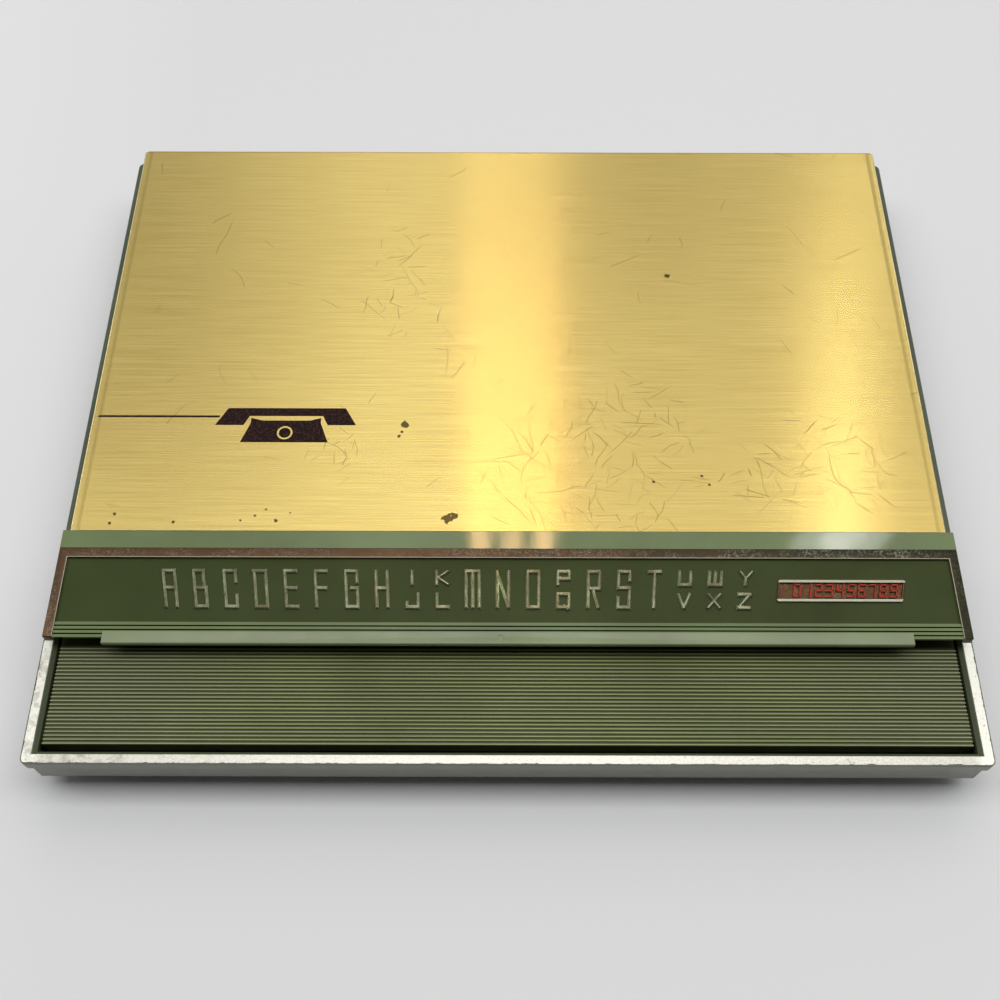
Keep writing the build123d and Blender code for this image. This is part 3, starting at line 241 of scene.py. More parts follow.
add_softbox("overhead_softbox", (0, 0.05, 1.6), (0, 0, 0), 3.0, 0.6, 3.3)
add_softbox("right_softbox", (0.62, 0.86, 1.05), (0.1, 0, 0), 0.85, 1.1, 0.12, (1.0, 0.98, 0.95))
warm, white = (1.0, 0.58, 0.26), (1.0, 0.98, 0.92)
for index, (lamp_x, width, radiance, color) in enumerate((
        (-0.0316, 0.020, 19.0, warm), (0.0041, 0.020, 17.0, warm), (0.0399, 0.020, 20.0, warm),
        (0.338, 0.026, 5.0, white), (0.374, 0.034, 12.0, white), (0.410, 0.024, 6.0, white))):
    add_softbox(f"lamp_{index}", (lamp_x, 0.435, 0.941), (0, 0, 0), width, 0.050, radiance, color)
add_softbox("middle_glow", (0.0, 0.66, 0.80), (0, 0, 0), 0.10, 0.26, 0.42, (0.90, 0.96, 0.82))
add_softbox("side_glow", (0.365, 0.66, 0.80), (0, 0, 0), 0.11, 0.26, 0.40)

world = bpy.data.worlds.new("studio")
world.use_nodes = True
scene.world = world
world_nodes, world_links = world.node_tree.nodes, world.node_tree.links
direction = world_nodes.new("ShaderNodeTexCoord").outputs["Generated"]
along = world_nodes.new("ShaderNodeSeparateXYZ")
world_links.new(direction, along.inputs[0])


def world_range(value, low, high, start, end, smooth=False):
    """A value of the world's shader stretched from one range onto another."""
    new = world_nodes.new("ShaderNodeMapRange")
    new.interpolation_type = "SMOOTHSTEP" if smooth else "LINEAR"
    world_links.new(value, new.inputs["Value"])
    for socket, number in zip(("From Min", "From Max", "To Min", "To Max"), (low, high, start, end)):
        new.inputs[socket].default_value = number
    return new.outputs[0]


def world_math(operation, first, second):
    """One step of arithmetic in the world's shader."""
    new = world_nodes.new("ShaderNodeMath")
    new.operation = operation
    for socket, value in zip(new.inputs, (first, second)):
        if isinstance(value, bpy.types.NodeSocket):
            world_links.new(value, socket)
        else:
            socket.default_value = value
    return new.outputs[0]


rearward = world_range(along.outputs["Y"], -0.25, 0.45, 0.06, 0.59)
from_middle = world_math("ABSOLUTE", world_math("ADD", along.outputs["X"], 0.070), 0)
glow = world_range(from_middle, 0.21, 0.0, 0.0, 0.84, smooth=True)
left_fade = world_range(along.outputs["X"], -0.50, 0.12, 0.74, 1.03)
right_fade = world_range(along.outputs["X"], 0.34, 0.60, 1.0, 0.78)
fade = world_math("MULTIPLY", left_fade, right_fade)
background = world_nodes["Background"]
background.inputs["Color"].default_value = (0.95, 0.97, 1.0, 1)
strength = world_math("MULTIPLY", rearward, world_math("ADD", fade, glow))
world_links.new(strength, background.inputs["Strength"])
scene.view_settings.view_transform = "Standard"

# %% [markdown]
# ## Moulded plastic
#
# The tray, lid and touch bar are injection moulded in olive green and satin from the mould. Handling
# leaves pale scuffs and the colour fades in soft clouds. One function makes the plastic in any of its
# shades, because the mould's grain, the clouds and the scuffs are the same on each.

# %% Plastic
def moulded_plastic(name, color, roughness, scuffs=0.25, uneven=0.06):
    """Satin plastic with clouds in its colour, a fine grain, and this much of pale scuffing."""
    finish = Finish(name, color, roughness)
    faded = tuple(channel * 1.15 + 0.006 for channel in color)
    deep = tuple(channel * 0.88 for channel in color)
    clouds = finish.between(finish.noise(38, 4), 0.3, 0.7)
    rubbed = finish.noise(1.0, 3, finish.stretched((420, 1500, 900), 0.3))
    worn = finish.math("MULTIPLY", finish.between(rubbed, 0.60, 0.72),
                       finish.between(finish.noise(70, 2), 0.50, 0.68, 0, scuffs))
    pale = tuple(channel * 0.6 + 0.16 for channel in color)
    finish.color = finish.mix(worn, finish.mix(clouds, deep, faded), pale)
    finish.set("Base Color", finish.color)
    finish.set("Roughness", finish.between(finish.noise(160, 3), 0.3, 0.7,
                                           roughness - uneven, roughness + uneven))
    grain_depth = 3 * uneven ** 2 * MM
    finish.bump(finish.noise(2600, 2), grain_depth)
    return finish


lid_green = (0.170, 0.222, 0.092)
# The ledge's green is lighter than the lid's: a painted light, for the reflection on its top.
ledge_green_painted_lighter = (0.245, 0.290, 0.150)
tray_green = (0.085, 0.102, 0.050)
panel_green = (0.042, 0.058, 0.010)
bar_olive = (0.275, 0.310, 0.115)
bar_groove_shade = (0.055, 0.068, 0.012)
lid_plastic = moulded_plastic("lid_plastic", lid_green, 0.06, 0.12, 0.02)
ledge_plastic = moulded_plastic("ledge_plastic", ledge_green_painted_lighter, 0.36, 0.5)
tray_plastic = moulded_plastic("tray_plastic", tray_green, 0.38, 0.30)
panel_plastic = moulded_plastic("panel_plastic", panel_green, 0.40, 0.05)
panel_plastic.set("Specular IOR Level", 0.15)

# %% [markdown]
# Two places on the plastic are painted with light and shade. The tray's front wall is painted lighter and
# greyer, a painted light for the light the floor throws up on it. The grooves between the lid's front ribs
# are painted dark, a painted shade.

# %% Front wall and grooves
foil_low, foil_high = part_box("rim_foil")
# The front wall is painted lighter and greyer: painted light, for the light the pale floor throws up on it.
painted_floor_light = tray_plastic.between(tray_plastic.axes["Y"], foil_low.y + 1.6 * MM, foil_low.y + 1.0 * MM)
tray_plastic.set("Base Color", tray_plastic.mix(painted_floor_light, tray_plastic.color, (0.225, 0.230, 0.180)))
panel_low, panel_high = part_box("letter_panel")
brass_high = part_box("lid_plate")[1]
rib_land_top = brass_high.z - 0.2 * MM
# The grooves between the lid's front ribs are painted dark: painted shade in the hollows.
painted_groove_shade = lid_plastic.between(lid_plastic.axes["Z"], rib_land_top - 0.08 * MM, rib_land_top - 0.35 * MM)
at_ribs = lid_plastic.math("LESS_THAN", lid_plastic.axes["Y"], panel_low.y - 0.1 * MM)
painted_groove_shade = lid_plastic.math("MULTIPLY", painted_groove_shade, at_ribs)
lid_plastic.set("Base Color", lid_plastic.mix(painted_groove_shade, lid_plastic.color, (0.030, 0.038, 0.012)))

# %% [markdown]
# The touch bar is the part that fingers and dust reach. Its rib tops are pale, partly rubbed and partly a
# painted highlight, and the grooves between them are painted dark as painted shade, so its colour follows
# the height on the bar.

# %% Touch bar
bar_plastic = moulded_plastic("bar_plastic", bar_olive, 0.40, 0.8)
bar_plastic.set("Specular IOR Level", 0.35)
rib_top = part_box("touch_bar")[1].z
# Rib tops are painted pale, partly wear and partly a painted highlight; the grooves dark, a painted shade.
rib_top_highlight = bar_plastic.between(bar_plastic.axes["Z"], rib_top - 0.48 * MM, rib_top - 0.08 * MM)
# Near both ends of the bar the colour is paler, partly dust and partly a painted sheen.
dust_and_sheen = bar_plastic.math("MAXIMUM", bar_plastic.near(-108, -78, 42), bar_plastic.near(118, -76, 42))
dust_and_sheen = bar_plastic.math("MULTIPLY", dust_and_sheen, 0.7)
bar_color = bar_plastic.mix(dust_and_sheen, bar_plastic.color, (0.30, 0.31, 0.19))
bar_plastic.set("Base Color", bar_plastic.mix(rib_top_highlight, bar_groove_shade, bar_color))

# %% [markdown]
# ## Brushed brass
#
# The lid's face is a sheet of brass, brushed from side to side and lacquered. Brushing scratches the
# metal in one direction, so a highlight spreads across the scratches and stays narrow along them, which
# is what the shader's anisotropy does. The tangent is given as a plain left to right direction, which
# stays true however far the lid is open, because the hinge lies along it. Fine noise stretched in the
# same direction draws the brush marks.

# %% Brass, brush marks
brass = Finish("brushed_brass", (0.78, 0.60, 0.20), 0.27, 1.0)
brass.set("Anisotropic", 1.0)
brass.set("Anisotropic Rotation", 0.25)
brass.set("Tangent", brass.node("CombineXYZ", {"X": 1.0}).outputs[0])
fine_marks = brass.noise(1.0, 3, brass.stretched((32, 2800, 1)), 0.7)
broad_marks = brass.noise(1.0, 3, brass.stretched((20, 1900, 1)), 0.6)
marks = brass.math("ADD", brass.math("MULTIPLY", fine_marks, 0.82), brass.math("MULTIPLY", broad_marks, 0.18))
marks = brass.between(marks, 0.36, 0.64)
brass_color = brass.mix(marks, (0.700, 0.516, 0.160), (0.820, 0.631, 0.216))
toned = brass.between(brass.noise(11, 3), 0.35, 0.70)
brass_color = brass.mix(brass.math("MULTIPLY", toned, 0.35), brass_color, (0.60, 0.43, 0.13))

# %% [markdown]
# Years of use add hair scratches in a few places, where the lacquer is broken and the brass below has
# darkened. A Voronoi texture divides the sheet into cells. Each cell may hold one short line through its
# middle, turned by a random angle, and five sizes of cell laid over each other give short and long ones.
# A slow noise bends the lines a little. Few cells draw their line, and most do inside a worn place.

# %% Brass, scratches
# the middle and reach of each worn place, in millimetres
cluster_places = ((-34, 42, 15), (-14, 20, 10), (12, -14, 26), (24, -22, 36), (36, -4, 20), (98, -16, 22),
                  (78, -22, 15), (-52, -14, 9), (-34, 62, 11))
in_cluster = 0.0
for x, y, reach in cluster_places:
    in_cluster = brass.math("MAXIMUM", in_cluster, brass.near(x, y, reach))
half_width = 0.145 * MM
scratches = 0.0
for scale, seed in ((45, 0.0), (70, 0.31), (105, 0.57), (150, 0.83), (210, 1.29)):
    bent = brass.noise(scale * 1.5, 0, brass.stretched((1, 1, 1), 0, (seed, 0, 0)))
    shifted = brass.stretched((1, 1, 1), seed, (seed, seed * 2, 0))
    bend = brass.node("CombineXYZ", {0: bent, 1: bent}).outputs[0]
    bend = brass.node("VectorMath", {0: bend, "Scale": 0.25 / scale}, operation="SCALE").outputs[0]
    shifted = brass.node("VectorMath", {0: shifted, 1: bend}, operation="ADD").outputs[0]
    cell = brass.node("TexVoronoi", {"Vector": shifted, "Scale": scale}, voronoi_dimensions="2D").outputs
    chance = brass.node("SeparateXYZ", {0: cell["Color"]}).outputs
    in_cell = brass.node("VectorMath", {0: shifted, 1: cell["Position"]}, operation="SUBTRACT").outputs[0]
    turned = brass.node("VectorRotate", {"Vector": in_cell, "Angle": brass.math(
        "MULTIPLY", chance["X"], math.tau)}, rotation_type="Z_AXIS").outputs[0]
    turned = brass.node("SeparateXYZ", {0: turned}).outputs
    line = brass.between(brass.math("ABSOLUTE", turned["Y"]), half_width, half_width * 0.3)
    ends = brass.between(brass.math("ABSOLUTE", turned["X"]), 0.62 / scale, 0.40 / scale)
    drawn = brass.math("LESS_THAN", chance["Y"], brass.between(in_cluster, 0.0, 0.60, 0.02, 0.75))
    line = brass.math("MULTIPLY", brass.math("MULTIPLY", line, ends), drawn)
    line = brass.math("MULTIPLY", line, brass.between(chance["Z"], 0, 1, 0.25, 1.0))
    scratches = brass.math("MAXIMUM", scratches, line)

# %% [markdown]
# Brown spots are small ragged blots where moisture got under the lacquer. The rear edge of the sheet is
# brown. A pale line along each side is a painted highlight, and the darker line in the dip beside it is
# painted shade.

# %% Brass, spots and edges
spots = 0.0
for x, y, reach in ((-17.2, -36.2, 2.0), (-15.4, -35.4, 1.4), (-30.6, -4.6, 1.5), (-32.2, -8.6, 0.7),
                    (50.5, 52, 1.0), (-72, -35.5, 0.5), (-66, -37, 0.6), (-62, -34.5, 0.4), (-76, -37, 0.4),
                    (-69, -33.5, 0.4), (-112, -35, 0.6), (-113, -38.0, 0.5), (-95, -37.6, 0.5),
                    (56, -22, 0.6), (42, -24, 0.5), (58, -25, 0.4), (-31.5, -7.2, 0.5)):
    uneven_near = brass.math("ADD", brass.near(x, y, reach * 1.5), brass.noise(900, 2))
    spots = brass.math("MAXIMUM", spots, brass.between(uneven_near, 0.92, 1.02))
from_brass_side = brass.math("SUBTRACT", brass_high.x, brass.math("ABSOLUTE", brass.axes["X"]))
# The dip beside each side edge is painted darker: painted shade on the slope of the rolled edge.
painted_dip_shade = brass.math("SUBTRACT", 1.0, brass.between(brass.math(
    "ABSOLUTE", brass.math("SUBTRACT", from_brass_side, 2.1 * MM)), 0.1 * MM, 0.7 * MM))
brass_color = brass.mix(brass.math("MULTIPLY", painted_dip_shade, 0.22), brass_color, (0.35, 0.24, 0.06))
from_brass_rear = brass.math("SUBTRACT", brass_high.y, brass.axes["Y"])
at_rear = brass.between(from_brass_rear, 0.9 * MM, 0.3 * MM)
brass_color = brass.mix(brass.math("MULTIPLY", at_rear, 0.50), brass_color, (0.33, 0.21, 0.07))
# A pale line along each side edge of the brass is a painted highlight.
painted_side_highlight = brass.between(from_brass_side, 0.45 * MM, 0.25 * MM)
brass_color = brass.mix(brass.math("MULTIPLY", painted_side_highlight, 0.45), brass_color, (0.90, 0.84, 0.62))
brass_color = brass.mix(brass.math("MULTIPLY", scratches, 0.74), brass_color, (0.20, 0.12, 0.025))
brass_color = brass.mix(brass.math("MULTIPLY", spots, 0.9), brass_color, (0.05, 0.03, 0.012))
brass.set("Base Color", brass_color)
brass.set("Roughness", brass.between(marks, 0, 1, 0.205, 0.225))
brass.bump(marks, 0.0012 * MM, 0.5)

# %% [markdown]
# ## Foil, chrome and plating
#
# The rim's silver is a hot stamped foil. It has worn in specks, and its outer edge is rubbed down to the
# green plastic. The trim round the letter panel was polished chrome, and has tarnished brown at the left
# and a speckled grey at the right. The letters are plated and bright on their slopes, and their tops are
# painted dark brown, partly tarnish and partly a painted dark reflection.

# %% Rim foil
foil = Finish("silver_foil", (0.60, 0.59, 0.53), 0.42, 1.0)
from_side = foil.math("SUBTRACT", foil_high.x, foil.math("ABSOLUTE", foil.axes["X"]))
from_front = foil.math("SUBTRACT", foil.axes["Y"], foil_low.y)
from_edge = foil.math("MINIMUM", from_side, from_front)
ragged = foil.between(foil.noise(420, 5, roughness=0.7), 0.50, 0.80, 0.0, 0.50 * MM)
rubbed_off = foil.math("GREATER_THAN", ragged, from_edge)
specks = foil.between(foil.noise(1500, 4, roughness=0.7), 0.60, 0.68)
specks = foil.math("MULTIPLY", specks, foil.between(foil.noise(60, 2), 0.35, 0.62, 0.25, 1.0))
bare = foil.math("MAXIMUM", rubbed_off, foil.math("MULTIPLY", specks, 0.75))
worn_end = foil.between(foil.axes["X"], -60 * MM, -118 * MM)
worn_patches = foil.math("MULTIPLY", foil.between(foil.noise(240, 5, roughness=0.75), 0.46, 0.62), worn_end)
bare = foil.math("MAXIMUM", bare, foil.math("MULTIPLY", worn_patches, 0.42))
mottle = foil.between(foil.noise(2300, 4, roughness=0.65), 0.3, 0.7)
foil_color = foil.mix(mottle, (0.42, 0.413, 0.355), (0.62, 0.606, 0.525))
# The foil is painted paler towards the middle: a painted reflection.
painted_reflection_fade = foil.between(foil.math("ABSOLUTE", foil.axes["X"]), 30 * MM, 110 * MM)
foil_color = foil.mix(painted_reflection_fade, foil.mix(0.45, foil_color, (0.74, 0.73, 0.66)), foil_color)
# The foil's outermost sides are painted paler: painted light.
painted_side_light = foil.between(foil.math("ABSOLUTE", foil.axes["X"]), 122 * MM, 124 * MM)
foil_color = foil.mix(foil.math("MULTIPLY", painted_side_light, 0.5), foil_color, (0.86, 0.85, 0.76))
foil.set("Base Color", foil.mix(bare, foil_color, tray_green))
foil.set("Metallic", foil.between(bare, 0.2, 0.8, 1.0, 0.0))
foil.set("Roughness", foil.between(mottle, 0, 1, 0.50, 0.36))
foil.bump(foil.noise(1900, 3), 0.02 * MM, 0.5)

# %% Tarnished chrome
def tarnished(name, left_color, right_color, speck_color, roughness):
    """Old bright plating, one colour at the left and another at the right, with pitted specks."""
    finish = Finish(name, left_color, roughness, 1.0)
    rightward = finish.between(finish.axes["X"], -40 * MM, 90 * MM)
    cloud = finish.between(finish.noise(55, 4), 0.3, 0.7)
    side = finish.between(finish.math("ADD", rightward, finish.math("MULTIPLY", cloud, 0.5)), 0.25, 1.1)
    pits = finish.between(finish.noise(1500, 5, roughness=0.75), 0.48, 0.64)
    pits = finish.math("MULTIPLY", pits, finish.between(finish.noise(140, 2), 0.36, 0.60, 0.10, 0.8))
    pits = finish.math("MULTIPLY", pits, finish.between(side, 0, 1, 0.4, 1.0))
    pits = finish.math("MULTIPLY", pits, finish.between(finish.axes["X"], 112 * MM, 120 * MM, 1.0, 0.35))
    finish.color = finish.mix(pits, finish.mix(side, left_color, right_color), speck_color)
    finish.set("Base Color", finish.color)
    finish.set("Roughness", finish.between(pits, 0, 1, roughness, roughness + 0.2))
    finish.bump(pits, -0.01 * MM, 0.6)
    return finish


trim_chrome = tarnished("trim_chrome", (0.112, 0.064, 0.036), (0.035, 0.034, 0.020), (0.30, 0.28, 0.21), 0.30)
# A thin pale line along the trim's inner edge is a painted highlight.
from_rear = trim_chrome.math("SUBTRACT", trim_chrome.axes["Y"], panel_high.y)
from_side = trim_chrome.math("SUBTRACT", trim_chrome.math("ABSOLUTE", trim_chrome.axes["X"]), panel_high.x)
from_panel = trim_chrome.math("MAXIMUM", from_rear, from_side)
painted_inner_edge_highlight = trim_chrome.between(from_panel, 0.40 * MM, 0.25 * MM)
trim_chrome.set("Base Color", trim_chrome.mix(painted_inner_edge_highlight, trim_chrome.color, (0.21, 0.19, 0.14)))
label_chrome = tarnished("label_chrome", (0.095, 0.050, 0.026), (0.090, 0.046, 0.024),
                         (0.20, 0.14, 0.08), 0.34)
plate_low, plate_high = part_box("label_plate")
# The top of each bead is painted paler: a painted highlight.
painted_bead_highlight = label_chrome.between(label_chrome.axes["Z"], plate_high.z - 0.16 * MM, plate_high.z - 0.05 * MM)
label_chrome.set("Base Color", label_chrome.mix(painted_bead_highlight, label_chrome.color, (0.40, 0.38, 0.29)))

# %% Plated letters
letter_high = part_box("index_letters")[1]
plating = Finish("letter_plating", (0.40, 0.38, 0.27), 0.34, 1.0)
# The tops of the strokes are painted dark brown, partly tarnish and partly a painted dark reflection.
dark_top_tarnish_and_reflection = plating.between(plating.axes["Z"], letter_high.z - 0.06 * MM, letter_high.z - 0.01 * MM)
browned = plating.between(plating.noise(260, 4), 0.38, 0.60, 0.55, 1.0)
plating_color = plating.mix(plating.between(plating.noise(600, 3), 0.35, 0.65), (0.38, 0.42, 0.26),
                            (0.50, 0.54, 0.36))
plating.set("Base Color", plating.mix(plating.math("MULTIPLY", dark_top_tarnish_and_reflection, browned), plating_color,
                                      (0.15, 0.135, 0.075)))
plating.set("Roughness", plating.between(plating.noise(900, 3), 0.3, 0.7, 0.26, 0.36))
plating.bump(plating.noise(900, 3), 0.01 * MM, 0.4)

# %% [markdown]
# ## Steel, wire, card and rubber
#
# These parts are hidden until the lid is open or the index is turned over. The cover and strips are
# enamelled steel with a faint ripple, the rod, screws and rings are plated, and the springs are drawn
# wire. The leaves are ivory card with printed rules, one for each line of an entry.

# %% Steel and wire
def metal(name, color, roughness, scale, metallic=1.0, depth=0.01 * MM):
    """Metal or enamel with fine clouds in its colour and gloss and a faint ripple."""
    finish = Finish(name, color, roughness, metallic)
    cloud = finish.between(finish.noise(scale, 4), 0.3, 0.7)
    finish.set("Base Color", finish.mix(cloud, tuple(c * 0.78 for c in color), color))
    finish.set("Roughness", finish.between(cloud, 0, 1, roughness + 0.1, roughness))
    finish.bump(finish.noise(scale * 4, 2), depth, 0.5)
    return finish


enamel = metal("dark_enamel", (0.020, 0.024, 0.017), 0.36, 400, 0.0)
bright_steel = metal("bright_steel", (0.58, 0.58, 0.55), 0.30, 600)
spring_steel = metal("spring_steel", (0.34, 0.34, 0.35), 0.36, 900)
ring_chrome = metal("ring_chrome", (0.74, 0.74, 0.72), 0.14, 500)
rubber = metal("foot_rubber", (0.016, 0.016, 0.015), 0.70, 900, 0.0, 0.03 * MM)

# %% Leaf card
rule_pitch, rule_width, column_x, first_rule_y = 7.2 * MM, 0.22 * MM, 28 * MM, -46 * MM
card = Finish("leaf_card", (0.78, 0.71, 0.54), 0.75)
aged = card.between(card.noise(30, 4), 0.3, 0.7)
card_color = card.mix(aged, (0.70, 0.62, 0.44), (0.82, 0.76, 0.60))
rule_phase = card.math("FRACT", card.math("DIVIDE", card.axes["Y"], rule_pitch))
rule = card.math("LESS_THAN", rule_phase, rule_width / rule_pitch)
column = card.math("COMPARE", card.axes["X"], column_x)
column.node.inputs[2].default_value = rule_width / 2
printed = card.math("MAXIMUM", rule, column)
inside = card.math("GREATER_THAN", card.axes["Y"], first_rule_y)
printed = card.math("MULTIPLY", printed, inside)
card.set("Base Color", card.mix(card.math("MULTIPLY", printed, 0.75), card_color, (0.16, 0.26, 0.30)))
card.bump(card.noise(2200, 3), 0.01 * MM, 0.5)

# %% Give each CAD node its finish
finish_of_slot = {
    "green_plastic": tray_plastic, "panel_plastic": panel_plastic, "silver_foil": foil,
    "brushed_brass": brass, "tarnished_chrome": trim_chrome, "plated_letters": plating,
    "cover_steel": enamel, "bright_steel": bright_steel, "spring_steel": spring_steel,
    "ring_chrome": ring_chrome, "leaf_card": card, "foot_rubber": rubber,
}
finish_of_node = {"lid_shell": lid_plastic, "finger_ledge": ledge_plastic, "touch_bar": bar_plastic,
                  "label_plate": label_chrome}
for entry in frame["record"]["subparts"]:
    finish = finish_of_node.get(entry["node"], finish_of_slot[entry["material_slot"]])
    nodes[entry["node"]].data.materials.clear()
    nodes[entry["node"]].data.materials.append(finish.material)

# %% [markdown]
# ## Modelled pieces
#
# Some CAD parts have the right outline and place but plain square edges. A copy of such a part is a good
# start: its loose triangles are joined into whole faces, it is shaped further in edit mode, and it then
# stands for the CAD part. The helpers below make such a copy, select faces by where they are, and set
# the finished piece on its body.

# %% Helpers for pieces
def copy_of_node(node, name):
    """A copy of a CAD node as a piece of its own, with its loose triangles joined into whole faces."""
    deselect_all()
    nodes[node].select_set(True)
    bpy.context.view_layer.objects.active = nodes[node]
    bpy.ops.object.duplicate()
    piece = bpy.context.object
    bpy.ops.object.parent_clear(type="CLEAR_KEEP_TRANSFORM")
    piece.name = piece.data.name = name
    for key in [key for key in piece.keys() if key.startswith("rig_")]:
        del piece[key]
    bpy.ops.object.mode_set(mode="EDIT")
    bpy.ops.mesh.select_all(action="SELECT")
    bpy.ops.mesh.remove_doubles(threshold=0.002 * MM)
    bpy.ops.mesh.dissolve_limited(angle_limit=math.radians(1))
    bpy.ops.object.mode_set(mode="OBJECT")
    return piece


def edit_faces(piece, wanted):
    """Enter edit mode with just those faces selected for which wanted(centre, normal) is true."""
    bpy.ops.object.mode_set(mode="EDIT")
    bpy.ops.mesh.select_mode(type="FACE")
    bpy.ops.mesh.select_all(action="DESELECT")
    bpy.ops.object.mode_set(mode="OBJECT")
    for face in piece.data.polygons:
        face.select = wanted(face.center, face.normal)
    bpy.ops.object.mode_set(mode="EDIT")


def bevel_edges(piece, width, segments=2, angle=40):
    """Round every edge sharper than the angle, and apply it. Flat faces stay flat in their shading."""
    deselect_all()
    piece.select_set(True)
    bpy.context.view_layer.objects.active = piece
    bpy.ops.object.shade_smooth_by_angle(angle=math.radians(35))
    bevel = piece.modifiers.new("rounded edges", "BEVEL")
    bevel.width = width
    bevel.segments = segments
    bevel.angle_limit = math.radians(angle)
    bevel.harden_normals = True
    bpy.ops.object.modifier_apply(modifier=bevel.name)


def place_piece(piece, body, slot, finish, *replaced):
    """Put the finished piece's place into its mesh and set it on its body."""
    deselect_all()
    piece.select_set(True)
    bpy.context.view_layer.objects.active = piece
    bpy.ops.object.transform_apply(location=True, rotation=True, scale=True)
    piece.data.materials.clear()
    piece.data.materials.append(finish.material)
    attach(piece, body)
    if replaced:
        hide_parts(*replaced)
    sides = [(max(v.co[axis] for v in piece.data.vertices) - min(v.co[axis] for v in piece.data.vertices))
             / MM for axis in range(3)]
    print(f"{piece.name}: {len(piece.data.polygons)} faces, " + " x ".join(f"{s:.2f}" for s in sides) + " mm")


# %% [markdown]
# ## Brass face
#
# The brass sheet is rolled down a little along its two sides, where it is clipped over the lid. The slope
# turns away from the light, and shows as a thin darker line beside the edge. A copy of the flat CAD plate
# is cut twice along each side and the strip outside the cuts is lowered.

# %% Face with rolled sides
roll_start, roll_end, roll_drop = 2.7 * MM, 1.3 * MM, 0.11 * MM
face = copy_of_node("lid_plate", "brass_face")
for side in (-1, 1):
    for inset in (roll_start, roll_end):
        edit_faces(face, lambda centre, normal: True)
        bpy.ops.mesh.bisect(plane_co=(side * (brass_high.x - inset), 0, 0), plane_no=(1, 0, 0))
        bpy.ops.object.mode_set(mode="OBJECT")
edit_faces(face, lambda centre, normal: normal.z > 0.9 and abs(centre.x) > brass_high.x - roll_end)
bpy.ops.transform.translate(value=(0, 0, -roll_drop))
bpy.ops.object.mode_set(mode="OBJECT")
place_piece(face, "lid", "brushed_brass", brass, "lid_plate")

# %% [markdown]
# ## Raised letters
#
# Each letter is a bar of plated plastic with sloping flanks, moulded in one sheet and set into the panel.
# The flanks are what catches the light, as two thin lines along each stroke. The CAD letters are upright
# prisms of the right outline, so their top faces are lowered, inset by the width of the flank, and raised
# again in the same step.

# %% Letters
flank = 0.30 * MM
letters = copy_of_node("index_letters", "bevelled_letters")
edit_faces(letters, lambda centre, normal: normal.z > 0.9 and centre.z > letter_high.z - 0.05 * MM)
bpy.ops.transform.translate(value=(0, 0, -flank))
bpy.ops.mesh.inset(thickness=flank, depth=flank, use_even_offset=True)
bpy.ops.object.mode_set(mode="OBJECT")
place_piece(letters, "lid", "plated_letters", plating, "index_letters")

# %% [markdown]
# ## Trim, ledge and panel edges
#
# A frame of bright trim closes the letter panel at the rear and sides, and a ledge in front of the panel
# lets a finger lift the lid. Both are seen from near, and it is the thin line of light along an edge that
# shows what they are made of. The copies keep the CAD shape and get slightly rounded edges.

# %% Trim and ledge
trim = copy_of_node("band_trim", "polished_trim")
bevel_edges(trim, 0.18 * MM)
place_piece(trim, "lid", "tarnished_chrome", trim_chrome, "band_trim")
ledge = copy_of_node("finger_ledge", "rounded_ledge")
bevel_edges(ledge, 0.16 * MM)
place_piece(ledge, "lid", "green_plastic", ledge_plastic, "finger_ledge")

# %% [markdown]
# ## Label plate
#
# The plate at the right end of the panel marks the last tab. Its sheet is rolled into a bead along the
# front and the rear edge, and raised red numerals fill the space between. The piece starts as a copy of
# the CAD plate. Two cuts divide its top, the face between them is pushed down, and a bevel rounds the
# strips that are left into beads.

# %% Plate with rolled beads
bead_width, well_depth = 0.75 * MM, 0.26 * MM
label = copy_of_node("label_plate", "label_with_beads")
for cut_y in (plate_low.y + bead_width, plate_high.y - bead_width):
    edit_faces(label, lambda centre, normal: True)
    bpy.ops.mesh.bisect(plane_co=(0, cut_y, 0), plane_no=(0, 1, 0))
middle_y = (plate_low.y + plate_high.y) / 2
edit_faces(label, lambda centre, normal: normal.z > 0.9 and abs(centre.y - middle_y) < 1 * MM)
bpy.ops.mesh.extrude_region_shrink_fatten(TRANSFORM_OT_shrink_fatten={"value": -well_depth})
bpy.ops.object.mode_set(mode="OBJECT")
bevel_edges(label, 0.12 * MM, 3, 60)
place_piece(label, "lid", "tarnished_chrome", label_chrome, "label_plate")

# %% [markdown]
# The numerals are drawn with up to seven strokes each, in the square style of the letters. Every stroke is
# a small bar with sloping flanks. The letters on the panel lean away from its middle like an open fan, so
# the finished numerals are widened a little towards the rear and narrowed towards the front.

# %% Numerals
red_paint = Finish("red_paint", (0.42, 0.045, 0.020), 0.38)
red_paint.set("Base Color", red_paint.mix(red_paint.between(red_paint.noise(700, 4), 0.45, 0.75),
                                          (0.48, 0.040, 0.016), (0.20, 0.05, 0.03)))
red_paint.set("Specular IOR Level", 0.2)
red_paint.bump(red_paint.noise(1800, 2), 0.01 * MM, 0.4)
numeral_width, numeral_height, numeral_stroke = 2.15 * MM, 4.1 * MM, 0.50 * MM
numeral_rise = 0.20 * MM
well_floor = plate_high.z - well_depth
upper, lower, edge = numeral_height / 4, -numeral_height / 4, numeral_width / 2 - numeral_stroke / 2
top = numeral_height / 2 - numeral_stroke / 2
stroke_places = {"a": (0, top, 0), "g": (0, 0, 0), "d": (0, -top, 0), "f": (-edge, upper, 1),
                 "b": (edge, upper, 1), "e": (-edge, lower, 1), "c": (edge, lower, 1)}
strokes_of_numeral = ["abcdef", "bc", "abged", "abgcd", "fgbc", "afgcd", "afgedc", "abc", "abcdefg",
                      "abcdfg"]
bars = []
first_x, last_x = plate_low.x + 4.3 * MM, plate_high.x - 2.0 * MM
numeral_pitch = (last_x - first_x) / len(strokes_of_numeral)
